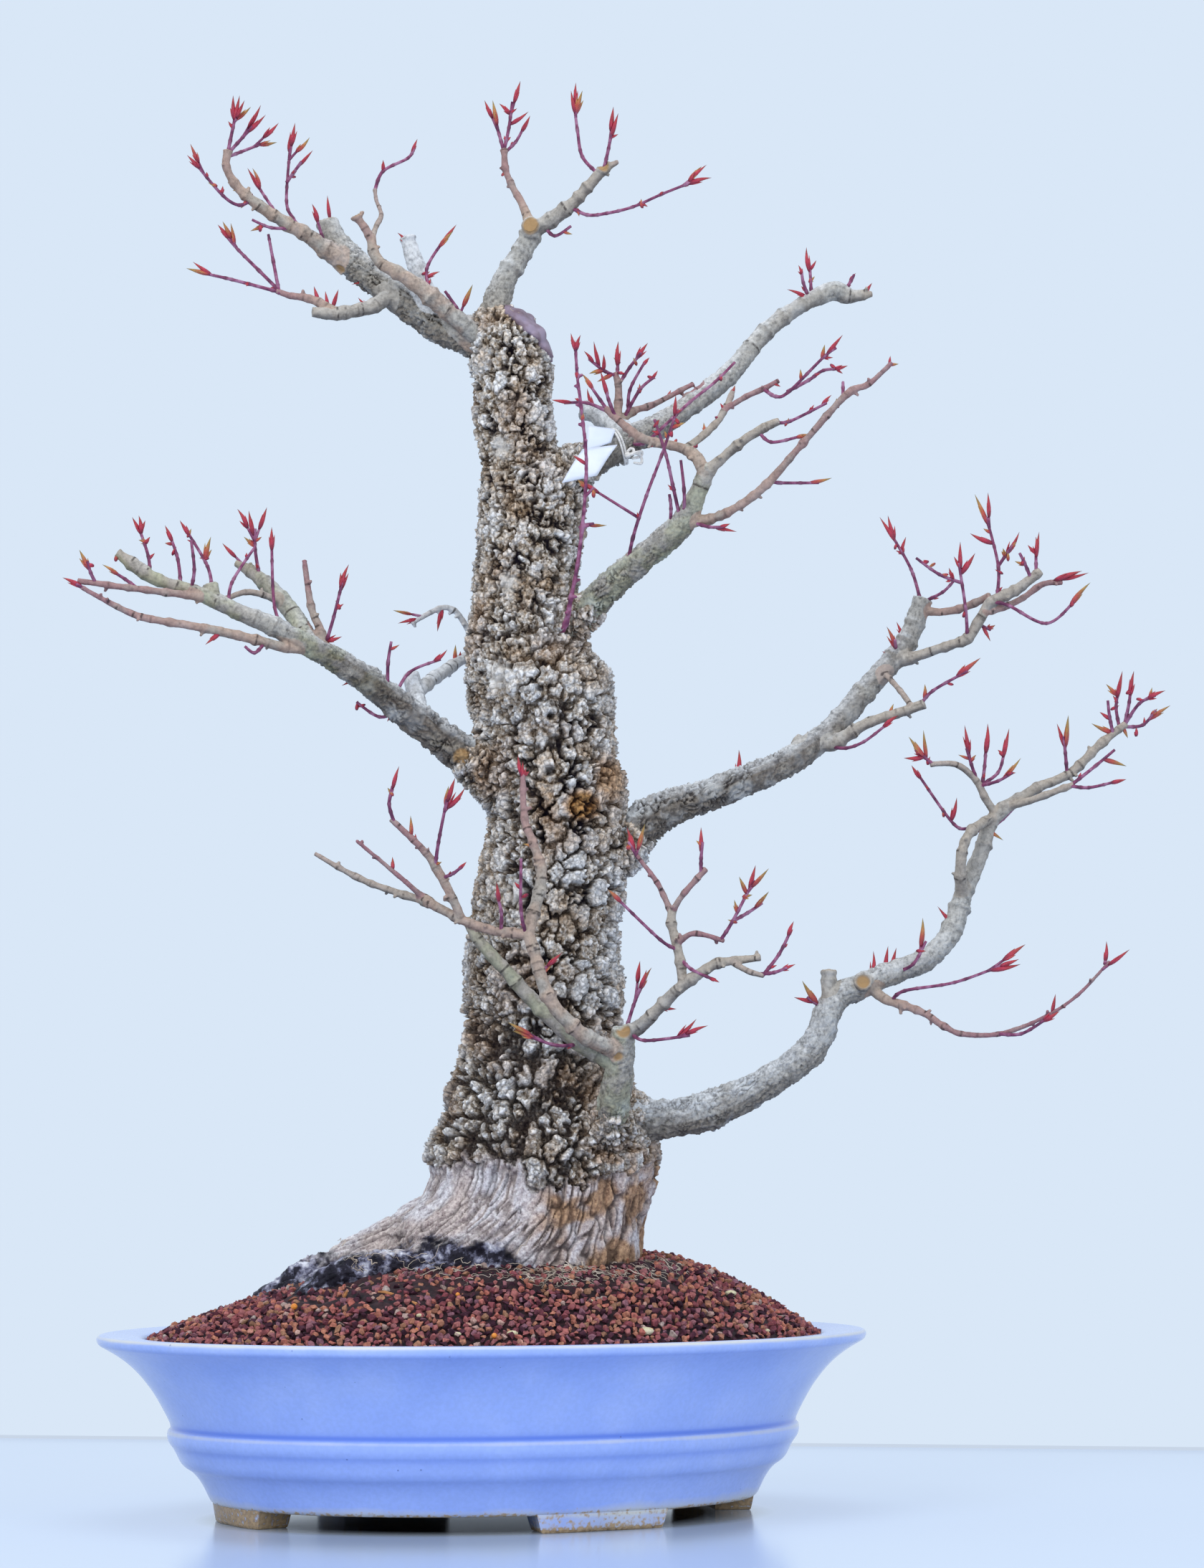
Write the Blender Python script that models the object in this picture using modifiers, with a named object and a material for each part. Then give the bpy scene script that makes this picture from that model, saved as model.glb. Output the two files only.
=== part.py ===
"""An old maple bonsai, bare but for its opening buds, in an oval glazed pot on four feet.

All sizes are in millimetres, and MM turns them into Blender's metres. The frame has +Z up, the ground
at z = 0 and the front of the tree towards -Y. The pot stands to the left of the middle, because
the crown reaches further to the right.
"""
import math

import bmesh
import bpy
from mathutils import Matrix, Vector

MM = 0.001
GAP = 0.3                   # left between pieces that touch

# Where the pot stands, and how it is turned
POT_X = -81.7               # from the middle of the whole to the middle of the pot
POT_TURN = 25.6             # degrees, its right-hand end turned away from the front

# Pot
POT_LENGTH = 478.0          # over the lip
POT_WIDTH = 370.0
POT_HEIGHT = 110.0          # ground to the top of the lip
BASE_INSET = 71.0           # how far the base lies inside the lip at the ends
WALL = 10.0
FLOOR = 11.0                # thickness of the pot's floor
LIP = 7.0                   # thickness of the lip's edge
LIP_WIDTH = 28.0            # flat top of the lip, from its edge to the mouth
BELT_TOP = 54.0             # the raised band round the pot
BELT = 10.0
BELT_PROUD = 2.2
FOOT_HEIGHT = 10.0
END_FOOT = 76.0             # length of the feet at the two ends
SIDE_FOOT = 88.0            # length of the feet under the long sides
SIDE_FOOT_SHIFT = 18.0      # those two feet sit a little round the oval
FOOT_DEEP = 24.0            # how far a foot reaches in under the pot
FOOT_TAPER = 3.0
DRAIN_HOLE = 30.0
DRAIN_PITCH = 170.0

# What covers the drain holes
MESH_CELLS = 4
MESH_CELL = 10.0
MESH_WEB = 2.0
MESH_THICK = 1.5
CLIP_WIRE = 2.0
CLIP_ARM = 12.0             # how far a clip's arm reaches past the hole under the pot

# Soil
SOIL_SINK = 5.0             # below the top of the lip where the soil meets the pot
SOIL_CROWN = 46.0           # height of the mound over the lip
MOUND_SHIFT = 60.0          # the mound's crown lies to the right of the pot's middle

# Tree
TREE_HEIGHT = 1.0           # scale of the tree's heights over the soil
GIRTH = 1.0                 # scale of the trunk's thickness
TRUNK_DATUM = 156.0         # top of the mound that the tree's heights below were taken with
TRUNK_FOOT = 118.0          # where the buried end of the trunk lies
FAN_FROM = 2800.0           # the crown fans out with depth, as if from a point this far in front
FAN_X = 69.0
FAN_Z = 238.0
BUD_LENGTH = 9.0
BUD_RADIUS = 1.9
TWIG_RADIUS = 1.0

# Wound paste on the old cut at the trunk's top
PASTE = 2.6

# Label and its tie
LABEL_THICK = 1.0
LABEL_HOLE = 5.0
TIE_CORD = 1.8
TIE_SLACK = 5.5             # between the limb and the middle of the tie's cord
LABEL_OFF = 1.2             # between the limb and the middle of the card
LABEL_LEAN = 25.0           # degrees that the card lies back

SPAN = POT_LENGTH / 2
SQUASH = POT_WIDTH / POT_LENGTH
FLOOR_TOP = FOOT_HEIGHT + FLOOR
LIFT = POT_HEIGHT + SOIL_CROWN - TRUNK_DATUM

# The trunk's outline: height, left edge, right edge, and how deep it is for its width
TRUNK = [
    (118, -50, 88, .80), (140, -60, 92, .80), (155, -64, 94, .80), (168, -62, 94, .80),
    (178, -52, 95, .80), (190, -39, 97, .80), (202, -34, 100, .80), (213, -35, 102, .80),
    (226, -31, 99, .80), (240, -25, 93, .82), (256, -22, 87, .84), (272, -16, 82, .86),
    (290, -13, 79, .88), (310, -13, 81, .88), (332, -12, 78, .88), (352, -9, 77, .88),
    (368, -8, 80, .88), (384, -4, 81, .88), (402, 0, 82, .88), (420, 2, 82, .88), (438, -1, 82, .88),
    (455, -4, 76, .88), (472, -6, 74, .88), (490, -11, 75, .88), (505, -12, 72, .88),
    (518, -12, 62, .88), (532, -11, 57, .88), (548, -8, 53, .88), (565, -8, 52, .88),
    (585, -5, 55, .88), (602, -4, 58, .80), (614, -4, 58, .74), (628, -3, 50, .74),
    (642, -5, 41, .82), (656, -6, 38, .88), (672, -8, 36, .88), (688, -8, 37, .88),
    (700, -9, 36, .88), (708, -10, 34, .88), (715, -10, 31, .88), (722, -9, 25, .88), (728, -6, 14, .88),
]

# Surface roots that leave the trunk's foot on the left
ROOTS = [
    [(-8, 12, 176, 27), (-38, 8, 164, 23), (-62, 5, 154, 18.5), (-90, 0, 143, 14.5), (-118, -5, 131, 13.5),
     (-138, -8, 112, 12)],
    [(10, -30, 160, 22), (-22, -38, 152, 18), (-48, -44, 146, 14), (-74, -50, 143, 13),
     (-98, -57, 134, 12), (-116, -62, 120, 9)],
]

# The limbs. "wood" runs hold x, y, z and radius; "twigs" hold x, y, z, and end at a bud's foot.
CROWN_LEFT = dict(
    wood=[
        [(0, 4, 708, 13), (-14, 4, 714, 12), (-30, 6, 719, 10.5), (-45, 9, 730, 10.5), (-60, 13, 741, 10),
         (-74, 17, 751, 9.5), (-86, 20, 761, 9.3), (-94, 23, 772, 7.5), (-100, 25, 784, 6)],
        [(-86, 18, 757, 7), (-100, 12, 767, 5.5), (-110, 8, 775, 4.5), (-121, 4, 781, 4),
         (-131, 0, 787, 3.8), (-141, -4, 794, 3.5), (-149, -6, 800, 3.3), (-156, -8, 808, 3),
         (-161, -10, 818, 2.7), (-160, -10, 828, 2.9)],
        [(-2, -5, 710, 6), (-14, -9, 719, 5.6), (-26, -13, 729, 5.5), (-36, -16, 738, 5.5),
         (-46, -18, 746, 4.6), (-57, -19, 753, 4), (-66, -19, 758, 3.6), (-71, -18, 766, 3.2),
         (-72, -17, 775, 3)],
        [(-72, -17, 772, 2.8), (-76, -19, 780, 2.5), (-82, -21, 788, 3)],
        [(-72, -17, 773, 2.4), (-69, -12, 781, 2), (-66, -9, 788, 1.6), (-69, -6, 797, 1.3),
         (-70, -4, 804, 1.5)],
        [(-33, 4, 729, 5), (-40, 3, 746, 5.2), (-46, 3, 760, 5.5), (-50, 3, 774, 3.8)],
        [(-60, 9, 739, 5), (-70, 0, 732, 4.5), (-81, -6, 729, 3.9), (-93, -10, 727, 4), (-108, -13, 728, 3.2)],
        [(-96, -10, 729, 3.4), (-104, -9, 734, 2.8), (-113, -8, 737, 2.5), (-121, -7, 738, 2.2),
         (-130, -6, 741, 2)],
    ],
    twigs=[
        [(-160, -10, 827), (-157, -11, 842), (-155, -12, 852)],
        [(-159, -10, 827), (-151, -14, 836), (-145, -17, 843)],
        [(-160, -10, 824), (-152, -4, 827), (-137, 4, 833)],
        [(-146, -5, 797), (-153, -10, 794), (-163, -15, 800), (-180, -20, 820)],
        [(-127, 1, 785), (-133, 8, 793), (-143, 13, 808)],
        [(-112, 7, 776), (-120, 9, 786), (-124, 10, 797), (-122, 11, 829)],
        [(-124, 10, 808), (-115, 3, 821)],
        [(-100, 12, 768), (-105, 5, 784)],
        [(-118, 5, 780), (-133, -4, 780), (-145, -8, 785)],
        [(-127, -6, 740), (-157, -12, 748), (-175, -14, 752)],
        [(-128, -7, 739), (-132, -3, 760), (-135, -2, 776)],
        [(-126, -6, 739), (-141, 0, 754), (-153, 4, 766), (-160, 6, 774)],
        [(-70, -4, 803), (-65, -1, 815), (-50, 4, 823), (-46, 5, 829)],
        [(-36, -16, 740), (-38, -8, 755), (-28, -4, 772)],
        [(-14, -9, 720), (-20, -15, 731), (-27, -18, 741)],
    ],
)

CROWN_LEADER = dict(
    wood=[
        [(4, 2, 708, 9.5), (3, 2, 724, 9.4), (5, 2, 736, 8.4), (9, 3, 746, 7.2), (14, 4, 755, 6.8),
         (20, 5, 765, 6.2), (25, 5, 775, 6), (28, 5, 784, 5)],
        [(26, 5, 779, 4.5), (23, 8, 788, 3.2), (19, 11, 797, 2.6), (14, 14, 806, 2.3), (10, 16, 816, 2.2),
         (9, 17, 829, 2.4)],
        [(26, 5, 778, 5), (38, 2, 785, 4.8), (46, -1, 791, 4.4), (53, -3, 797, 3.6), (60, -5, 805, 3.5),
         (69, -7, 815, 3.4), (79, -9, 821, 1.4)],
        [(26, 5, 779, 5), (25, -4, 782, 4.8)],
    ],
    twigs=[
        [(9, 17, 827), (6, 19, 838), (3, 21, 848)],
        [(9, 17, 828), (12, 18, 842), (14, 19, 858)],
        [(9, 17, 826), (16, 20, 833), (20, 22, 840)],
        [(49, -2, 793), (60, -8, 788), (72, -13, 789), (88, -18, 793), (106, -22, 801), (126, -26, 809)],
        [(67, -7, 813), (57, -2, 824), (54, 0, 840), (52, 2, 856)],
        [(70, -7, 816), (73, -10, 829), (75, -11, 841)],
        [(33, 3, 782), (40, 0, 775), (50, -5, 781)],
    ],
)

UPPER_RIGHT_BACK = dict(
    wood=[
        [(32, 4, 620, 14), (49, 5, 630, 13), (63, 7, 638, 11.5), (76, 9, 644, 10), (88, 13, 650, 8.8),
         (100, 18, 656, 8), (112, 24, 663, 7), (124, 31, 672, 6.6), (135, 37, 680, 6.8),
         (145, 43, 688, 6.5), (153, 47, 697, 6), (160, 51, 706, 5.6), (169, 55, 716, 5.3),
         (180, 58, 725, 5), (192, 60, 733, 4.7), (202, 62, 738, 5.4), (211, 63, 741, 6.4),
         (220, 64, 738, 4.8), (234, 65, 739, 2)],
        [(88, 14, 651, 6.5), (78, 20, 658, 6.3), (68, 26, 664, 6), (58, 31, 668, 5.4)],
        [(78, 20, 659, 4), (88, 25, 667, 2.6), (100, 28, 671, 2.1), (125, 33, 684, 1.8)],
        [(78, 20, 659, 3.6), (79, 19, 672, 2.6), (79, 18, 682, 2.5), (77, 17, 691, 2)],
    ],
    twigs=[
        [(77, 17, 689), (70, 12, 692), (61, 7, 699)],
        [(78, 18, 686), (79, 21, 701)],
        [(79, 18, 683), (86, 14, 694), (93, 10, 703)],
        [(85, 24, 665), (86, 15, 680), (95, 8, 697)],
        [(82, 22, 662), (92, 12, 680), (101, 9, 688)],
        [(84, 12, 648), (94, -2, 647), (106, -8, 657), (122, 4, 672), (138, 16, 685), (150, 24, 697)],
        [(196, 61, 735), (192, 54, 746), (191, 52, 753)],
        [(197, 61, 736), (196, 65, 757)],
        [(216, 63, 739), (221, 68, 747), (223, 70, 751)],
    ],
)

UPPER_RIGHT_FRONT = dict(
    wood=[
        [(38, -8, 526, 10), (53, -14, 539, 10), (64, -19, 550, 9.6), (74, -24, 560, 9), (84, -28, 569, 8.6),
         (94, -32, 577, 8.2), (104, -36, 585, 8), (113, -40, 593, 8), (121, -43, 602, 7),
         (125, -45, 612, 5.8), (129, -47, 621, 5.3), (133, -49, 631, 5)],
        [(132, -49, 629, 4.4), (127, -47, 638, 3.8), (120, -44, 643, 3.2), (111, -41, 646, 3),
         (101, -38, 648, 3), (92, -35, 651, 2.8), (84, -32, 657, 2.7), (71, -28, 669, 2.3)],
        [(132, -49, 629, 4.2), (141, -52, 637, 3.2), (154, -58, 648, 3), (168, -63, 657, 3),
         (177, -65, 661, 2.4)],
        [(120, -44, 643, 2.9), (128, -40, 650, 2.6), (138, -35, 659, 2.5), (145, -31, 670, 2.3),
         (149, -30, 680, 1.8)],
        [(144, -32, 668, 2.1), (157, -35, 676, 2), (168, -38, 681, 2), (177, -40, 686, 1.5)],
        [(121, -43, 600, 4.5), (131, -46, 600, 3.4), (141, -50, 603, 2.8), (151, -54, 608, 2.8),
         (161, -58, 615, 2.8), (172, -62, 625, 2.8), (192, -70, 648, 2.3), (218, -77, 677, 2.4),
         (232, -79, 684, 2.1), (246, -80, 697, 1.5)],
    ],
    twigs=[
        [(167, -38, 681), (175, -42, 676), (183, -45, 679), (204, -49, 700), (212, -50, 706)],
        [(182, -45, 679), (195, -39, 686), (204, -36, 692), (214, -33, 693)],
        [(175, -64, 660), (184, -68, 661), (206, -76, 672)],
        [(164, -61, 655), (172, -66, 648), (188, -68, 651)],
        [(171, -62, 624), (178, -57, 623), (201, -52, 623)],
        [(124, -45, 599), (134, -52, 596), (143, -56, 596)],
        [(216, -76, 675), (216, -71, 685)],
        [(110, -39, 591), (111, -47, 607), (110, -50, 616)],
        [(117, -42, 599), (112, -54, 622), (108, -60, 640), (101, -64, 662)],
        [(84, -28, 570), (88, -42, 590), (96, -50, 615), (105, -54, 639), (115, -56, 668)],
        [(119, -43, 602), (119, -57, 618), (117, -61, 637)],
        [(74, -29, 666), (60, -24, 672), (46, -20, 672)],
        [(77, -30, 664), (73, -35, 674), (71, -37, 682)],
        [(72, -28, 668), (63, -24, 681)],
    ],
)

LEFT_LIMB = dict(
    wood=[
        [(12, -6, 438, 15), (-3, -8, 449, 13.5), (-16, -10, 458, 12), (-28, -12, 467, 10.8),
         (-40, -15, 476, 10.2), (-52, -18, 485, 9.6), (-63, -21, 494, 9), (-73, -24, 502, 8.5),
         (-84, -27, 509, 8), (-95, -30, 516, 7.4), (-106, -33, 522, 6.8), (-118, -36, 528, 6.4),
         (-130, -38, 535, 5.8), (-142, -40, 540, 5.2), (-154, -42, 545, 4.8), (-166, -44, 551, 5),
         (-178, -45, 556, 4), (-202, -46, 564, 3.6), (-212, -46, 570, 4.4), (-226, -46, 580, 2.8)],
        [(-108, -33, 522, 4), (-122, -40, 522, 3.2), (-134, -45, 525, 3.1), (-158, -53, 531, 3.1),
         (-183, -59, 536, 2.8), (-211, -62, 541, 2.4), (-231, -63, 550, 2), (-249, -63, 560, 1.4)],
        [(-173, -45, 553, 3.4), (-188, -53, 555, 2.6), (-213, -58, 558, 2.3), (-250, -61, 563, 2)],
        [(-103, -32, 520, 5.5), (-112, -23, 532, 5.5), (-119, -15, 543, 5.4), (-127, -9, 553, 5),
         (-136, -5, 562, 4.4), (-145, -1, 569, 3.6), (-154, 1, 574, 2.4)],
        [(-124, -11, 549, 2.8), (-136, -18, 554, 2.3), (-148, -21, 556, 2.1), (-162, -24, 551, 1.8)],
        [(-167, -44, 551, 4), (-169, -42, 561, 4.6)],
        [(-97, -31, 517, 3.4), (-103, -26, 535, 2.7), (-108, -23, 548, 2.5), (-112, -20, 575, 1.7)],
        [(-41, -15, 477, 5.6), (-44, -4, 492, 5.5), (-47, 0, 506, 4.8)],
        [(-44, -3, 494, 4.4), (-35, 12, 502, 4.1), (-25, 28, 509, 3.8), (-14, 42, 516, 3.4), (2, 52, 521, 3)],
        [(-5, 48, 519, 2.6), (-14, 46, 536, 2.3), (-21, 44, 545, 2.1), (-30, 42, 546, 2), (-47, 38, 537, 1.6)],
    ],
    twigs=[
        [(-99, -28, 524), (-94, -40, 541), (-89, -44, 562)],
        [(-61, -21, 493), (-61, -29, 512), (-59, -31, 526)],
        [(-58, -19, 490), (-48, -10, 507), (-29, -6, 515)],
        [(-54, -18, 484), (-66, -10, 480), (-80, -8, 489)],
        [(-139, -4, 564), (-142, -7, 582), (-142, -9, 595)],
        [(-122, -37, 530), (-130, -30, 547), (-132, -24, 586)],
        [(-158, -42, 547), (-156, -34, 562), (-142, -26, 584)],
        [(-168, -43, 557), (-171, -36, 572), (-184, -31, 594)],
        [(-181, -45, 557), (-179, -52, 570), (-181, -54, 588)],
        [(-187, -46, 559), (-189, -40, 576), (-194, -37, 591)],
        [(-206, -46, 566), (-207, -41, 578), (-213, -38, 596)],
        [(-239, -60, 562), (-242, -64, 568), (-244, -66, 575)],
        [(-213, -58, 558), (-221, -52, 564), (-229, -50, 569)],
        [(-136, -45, 525), (-142, -54, 519), (-148, -57, 523)],
        [(-245, -63, 558), (-251, -64, 561)],
    ],
)

RIGHT_LIMB = dict(
    wood=[
        [(62, 0, 397, 17), (79, 1, 403, 16), (92, 3, 413, 14), (102, 5, 421, 12.4), (113, 8, 426, 11),
         (126, 11, 430, 10.2), (140, 15, 435, 9.8), (155, 19, 441, 9.3), (170, 24, 447, 8.8),
         (184, 28, 454, 8.6), (197, 33, 463, 8.2), (208, 37, 472, 7.3), (218, 41, 483, 7),
         (228, 45, 495, 6.8), (238, 49, 506, 7), (247, 52, 516, 6.8), (254, 55, 526, 6.4),
         (259, 57, 537, 6), (264, 59, 552, 6)],
        [(194, 31, 460, 5), (186, 33, 467, 4)],
        [(245, 52, 513, 5), (257, 48, 516, 3.6), (269, 44, 520, 3.1), (281, 41, 524, 3), (291, 38, 528, 3.5),
         (299, 37, 540, 3.4), (306, 35, 550, 3.6), (320, 31, 557, 3.4), (336, 28, 569, 2.9)],
        [(302, 36, 544, 2.8), (313, 39, 547, 2.4), (324, 41, 552, 2.3), (337, 42, 561, 2.2),
         (349, 42, 562, 1.9)],
        [(262, 58, 545, 3.2), (276, 55, 544, 2.7), (290, 48, 547, 2.6), (305, 38, 554, 2.6)],
        [(200, 34, 464, 5.4), (210, 30, 464, 4.4), (221, 26, 471, 3.8), (232, 23, 477, 3.4),
         (248, 20, 482, 3.1), (265, 17, 488, 3.3)],
        [(257, 18, 486, 2.2), (250, 27, 496, 2), (241, 44, 506, 1.9)],
    ],
    twigs=[
        [(262, 18, 487), (270, 13, 496), (291, 6, 508)],
        [(207, 32, 462), (217, 20, 461), (228, 15, 465), (240, 13, 474)],
        [(263, 58, 549), (257, 63, 570), (244, 67, 593)],
        [(264, 58, 550), (276, 49, 556), (283, 46, 563)],
        [(291, 38, 527), (290, 28, 546), (286, 24, 574)],
        [(287, 26, 562), (274, 21, 567), (260, 19, 577)],
        [(309, 34, 552), (310, 42, 572), (303, 46, 602)],
        [(310, 42, 572), (319, 34, 585)],
        [(330, 29, 564), (326, 22, 574), (323, 20, 580)],
        [(333, 28, 567), (333, 34, 583)],
        [(306, 35, 550), (316, 27, 548), (339, 21, 537), (356, 16, 550)],
        [(297, 37, 537), (305, 43, 533)],
        [(248, 52, 517), (247, 43, 527)],
    ],
)

LOW_RIGHT_LIMB = dict(
    wood=[
        [(66, -12, 236, 17), (84, -14, 238, 15), (97, -15, 237, 12.6), (110, -16, 237, 11.3),
         (122, -17, 239, 11.8), (134, -18, 242, 12.2), (146, -19, 247, 10.8), (158, -20, 253, 9.8),
         (171, -21, 260, 9.2), (183, -22, 268, 9.1), (194, -22, 277, 9.2), (201, -22, 288, 8.6),
         (205, -21, 300, 8.2), (212, -19, 311, 8), (224, -17, 316, 7.6), (237, -14, 322, 7.5),
         (250, -11, 327, 6.9), (263, -7, 332, 6.5), (274, -2, 341, 6.4), (281, 2, 352, 6.2),
         (285, 6, 364, 6.1), (289, 9, 376, 5.6), (295, 12, 389, 5), (300, 14, 402, 4.6),
         (304, 16, 415, 4.5), (312, 16, 424, 4.4), (322, 16, 430, 3.8), (333, 18, 437, 3.2),
         (353, 22, 446, 3), (371, 26, 463, 2.8), (387, 27, 476, 2.4)],
        [(314, 16, 426, 3), (328, 9, 429, 2.6), (355, 3, 439, 2.2)],
        [(206, -21, 305, 5), (206, -21, 327, 4)],
        [(226, -17, 317, 5), (227, -27, 320, 4.8)],
        [(287, 7, 370, 4.4), (286, -1, 384, 3.6), (287, -4, 398, 3.1), (293, 0, 411, 3.2), (306, 15, 419, 3.2)],
        [(308, 16, 420, 3), (301, 12, 431, 2.6), (296, 9, 441, 2.5), (284, 3, 451, 2.2), (268, 0, 451, 1.9)],
        [(229, -16, 318, 3.8), (240, -23, 309, 3.2), (252, -28, 305, 2.8), (264, -31, 300, 2.4),
         (275, -34, 293, 2.2), (286, -36, 288, 2), (309, -38, 288, 1.7), (334, -40, 297, 1.4),
         (356, -42, 311, 1.2), (376, -44, 332, 1.1)],
    ],
    twigs=[
        [(270, 0, 451), (259, -4, 460)],
        [(297, 10, 439), (293, 5, 451), (290, 3, 461)],
        [(299, 11, 436), (301, 16, 450), (302, 18, 464)],
        [(298, 10, 438), (309, 16, 446), (313, 19, 458)],
        [(298, 10, 438), (309, 2, 441), (318, -2, 446)],
        [(351, 22, 445), (350, 16, 458), (349, 14, 468)],
        [(379, 26, 470), (377, 21, 480), (376, 19, 490)],
        [(383, 27, 473), (381, 33, 486), (383, 35, 498)],
        [(386, 27, 475), (389, 23, 489), (390, 22, 499)],
        [(386, 27, 475), (395, 19, 488), (405, 16, 493)],
        [(385, 27, 474), (397, 31, 475), (405, 33, 484)],
        [(353, 3, 438), (364, -3, 437), (378, -6, 440)],
        [(354, 3, 439), (368, 7, 450), (380, 8, 460)],
        [(303, 15, 410), (292, 22, 412), (282, 24, 415), (262, 26, 443)],
        [(303, 15, 411), (312, 22, 418), (319, 25, 425)],
        [(308, -38, 288), (322, -45, 288), (336, -48, 296)],
        [(244, -25, 308), (252, -33, 314), (282, -37, 319), (310, -39, 329)],
        [(246, -12, 325), (257, -22, 330), (265, -24, 344)],
        [(203, -21, 303), (193, -27, 310)],
        [(373, -44, 330), (374, -40, 337)],
    ],
)

FRONT_LIMB = dict(
    wood=[
        [(72, -26, 220, 11), (74, -43, 233, 10.5), (76, -54, 246, 9.5), (78, -60, 258, 8.8),
         (80, -64, 270, 8), (81, -66, 281, 7.6), (82, -68, 291, 6.5)],
        [(81, -67, 286, 5), (91, -73, 292, 4.4), (99, -78, 299, 3.8), (107, -82, 307, 3.6),
         (115, -86, 315, 3.6), (123, -90, 321, 3.4), (132, -93, 327, 3.1), (141, -95, 331, 2.9),
         (165, -99, 334, 2.4)],
        [(118, -87, 317, 3.4), (117, -86, 327, 3), (115, -85, 338, 3), (111, -83, 355, 2.8),
         (112, -82, 364, 2.8)],
        [(111, -82, 361, 2.2), (106, -80, 372, 2), (102, -79, 380, 1.8), (90, -77, 396, 1.4)],
        [(111, -82, 361, 2.2), (118, -87, 372, 2), (132, -91, 388, 2.2)],
        [(114, -84, 342, 2.2), (122, -89, 348, 1.9), (130, -91, 348, 1.9), (143, -92, 344, 1.5)],
        [(147, -96, 332, 2.3), (157, -102, 326, 2), (167, -104, 323, 1.7)],
        [(80, -66, 277, 5.5), (70, -73, 281, 5), (61, -78, 285, 4.6), (52, -82, 292, 4.2),
         (43, -84, 301, 4.1), (36, -85, 312, 4), (31, -85, 326, 3.7), (28, -84, 338, 3.5),
         (24, -83, 349, 3.7)],
        [(26, -83, 347, 3.3), (15, -81, 349, 3.1), (4, -79, 350, 3), (-16, -74, 357, 3),
         (-35, -68, 367, 3.1), (-42, -65, 371, 3.4)],
        [(-37, -67, 368, 2.7), (-54, -62, 373, 2.4), (-78, -56, 382, 2.2), (-105, -50, 397, 1.5)],
        [(-39, -66, 370, 2.4), (-50, -72, 380, 1.8), (-80, -77, 405, 1.2)],
        [(79, -63, 269, 5), (66, -63, 276, 5), (53, -65, 284, 4.8), (32, -68, 303, 4.4), (12, -70, 325, 4),
         (-6, -73, 345, 3.6), (-13, -72, 358, 2.7)],
        [(-15, -74, 355, 3.1), (-22, -76, 371, 2.9), (-33, -77, 391, 2.9), (-41, -78, 401, 2.2),
         (-59, -80, 418, 2)],
        [(24, -83, 347, 3.5), (27, -81, 360, 3.8), (31, -77, 374, 3.6), (32, -74, 388, 3.2),
         (27, -71, 404, 2.7), (22, -69, 419, 2.4), (21, -67, 446, 1.8)],
    ],
    twigs=[
        [(163, -103, 324), (173, -105, 325), (181, -107, 328)],
        [(166, -104, 323), (176, -100, 336), (183, -98, 350)],
        [(91, -77, 394), (85, -76, 404)],
        [(129, -90, 384), (129, -94, 394), (130, -95, 404)],
        [(114, -85, 339), (104, -93, 345), (80, -101, 368)],
        [(141, -92, 345), (148, -96, 356), (161, -99, 381)],
        [(148, -96, 356), (157, -90, 361), (166, -88, 367)],
        [(116, -85, 334), (123, -93, 327), (136, -96, 321)],
        [(86, -70, 289), (95, -82, 284), (122, -90, 287)],
        [(83, -68, 289), (88, -75, 305), (92, -78, 316)],
        [(-57, -80, 416), (-60, -84, 427), (-58, -86, 438)],
        [(-32, -77, 389), (-30, -86, 404), (-25, -91, 430)],
        [(-28, -76, 382), (-21, -83, 385), (-16, -84, 389)],
        [(23, -83, 348), (20, -92, 363), (20, -95, 394)],
        [(8, -80, 350), (8, -88, 362), (5, -90, 373)],
        [(56, -65, 282), (42, -76, 281), (26, -80, 286)],
    ],
)

FRONT_SHOOT = dict(
    wood=[
        [(40, -16, 524, 2.4), (47, -27, 537, 2), (50, -35, 552, 1.7), (54, -41, 572, 1.5),
         (57, -46, 596, 1.4), (59, -49, 620, 1.4), (59, -50, 645, 1.3), (54, -51, 688, 1.2),
         (53, -51, 705, 1.1)],
    ],
    twigs=[
        [(53, -51, 704), (52, -51, 708)],
        [(58, -48, 614), (64, -50, 620)],
        [(57, -46, 597), (64, -44, 598)],
    ],
)

LIMBS = [
    ("crown_left_limb", CROWN_LEFT),
    ("crown_leader", CROWN_LEADER),
    ("upper_right_back_limb", UPPER_RIGHT_BACK),
    ("upper_right_front_limb", UPPER_RIGHT_FRONT),
    ("left_limb", LEFT_LIMB),
    ("right_limb", RIGHT_LIMB),
    ("low_right_limb", LOW_RIGHT_LIMB),
    ("front_limb", FRONT_LIMB),
    ("front_shoot", FRONT_SHOOT),
]


# ---------------------------------------------------------------- tools

def collection(name):
    made = bpy.data.collections.new(name)
    bpy.context.scene.collection.children.link(made)
    return made


def material(name, colour, roughness, metallic=0.0):
    made = bpy.data.materials.new(name)
    made.use_nodes = True
    shader = made.node_tree.nodes["Principled BSDF"]
    shader.inputs["Base Color"].default_value = (*colour, 1)
    shader.inputs["Roughness"].default_value = roughness
    shader.inputs["Metallic"].default_value = metallic
    return made


def add_object(name, mesh, home, look=None):
    made = bpy.data.objects.new(name, mesh)
    home.objects.link(made)
    if look:
        mesh.materials.clear()
        mesh.materials.append(look)
    return made


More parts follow.
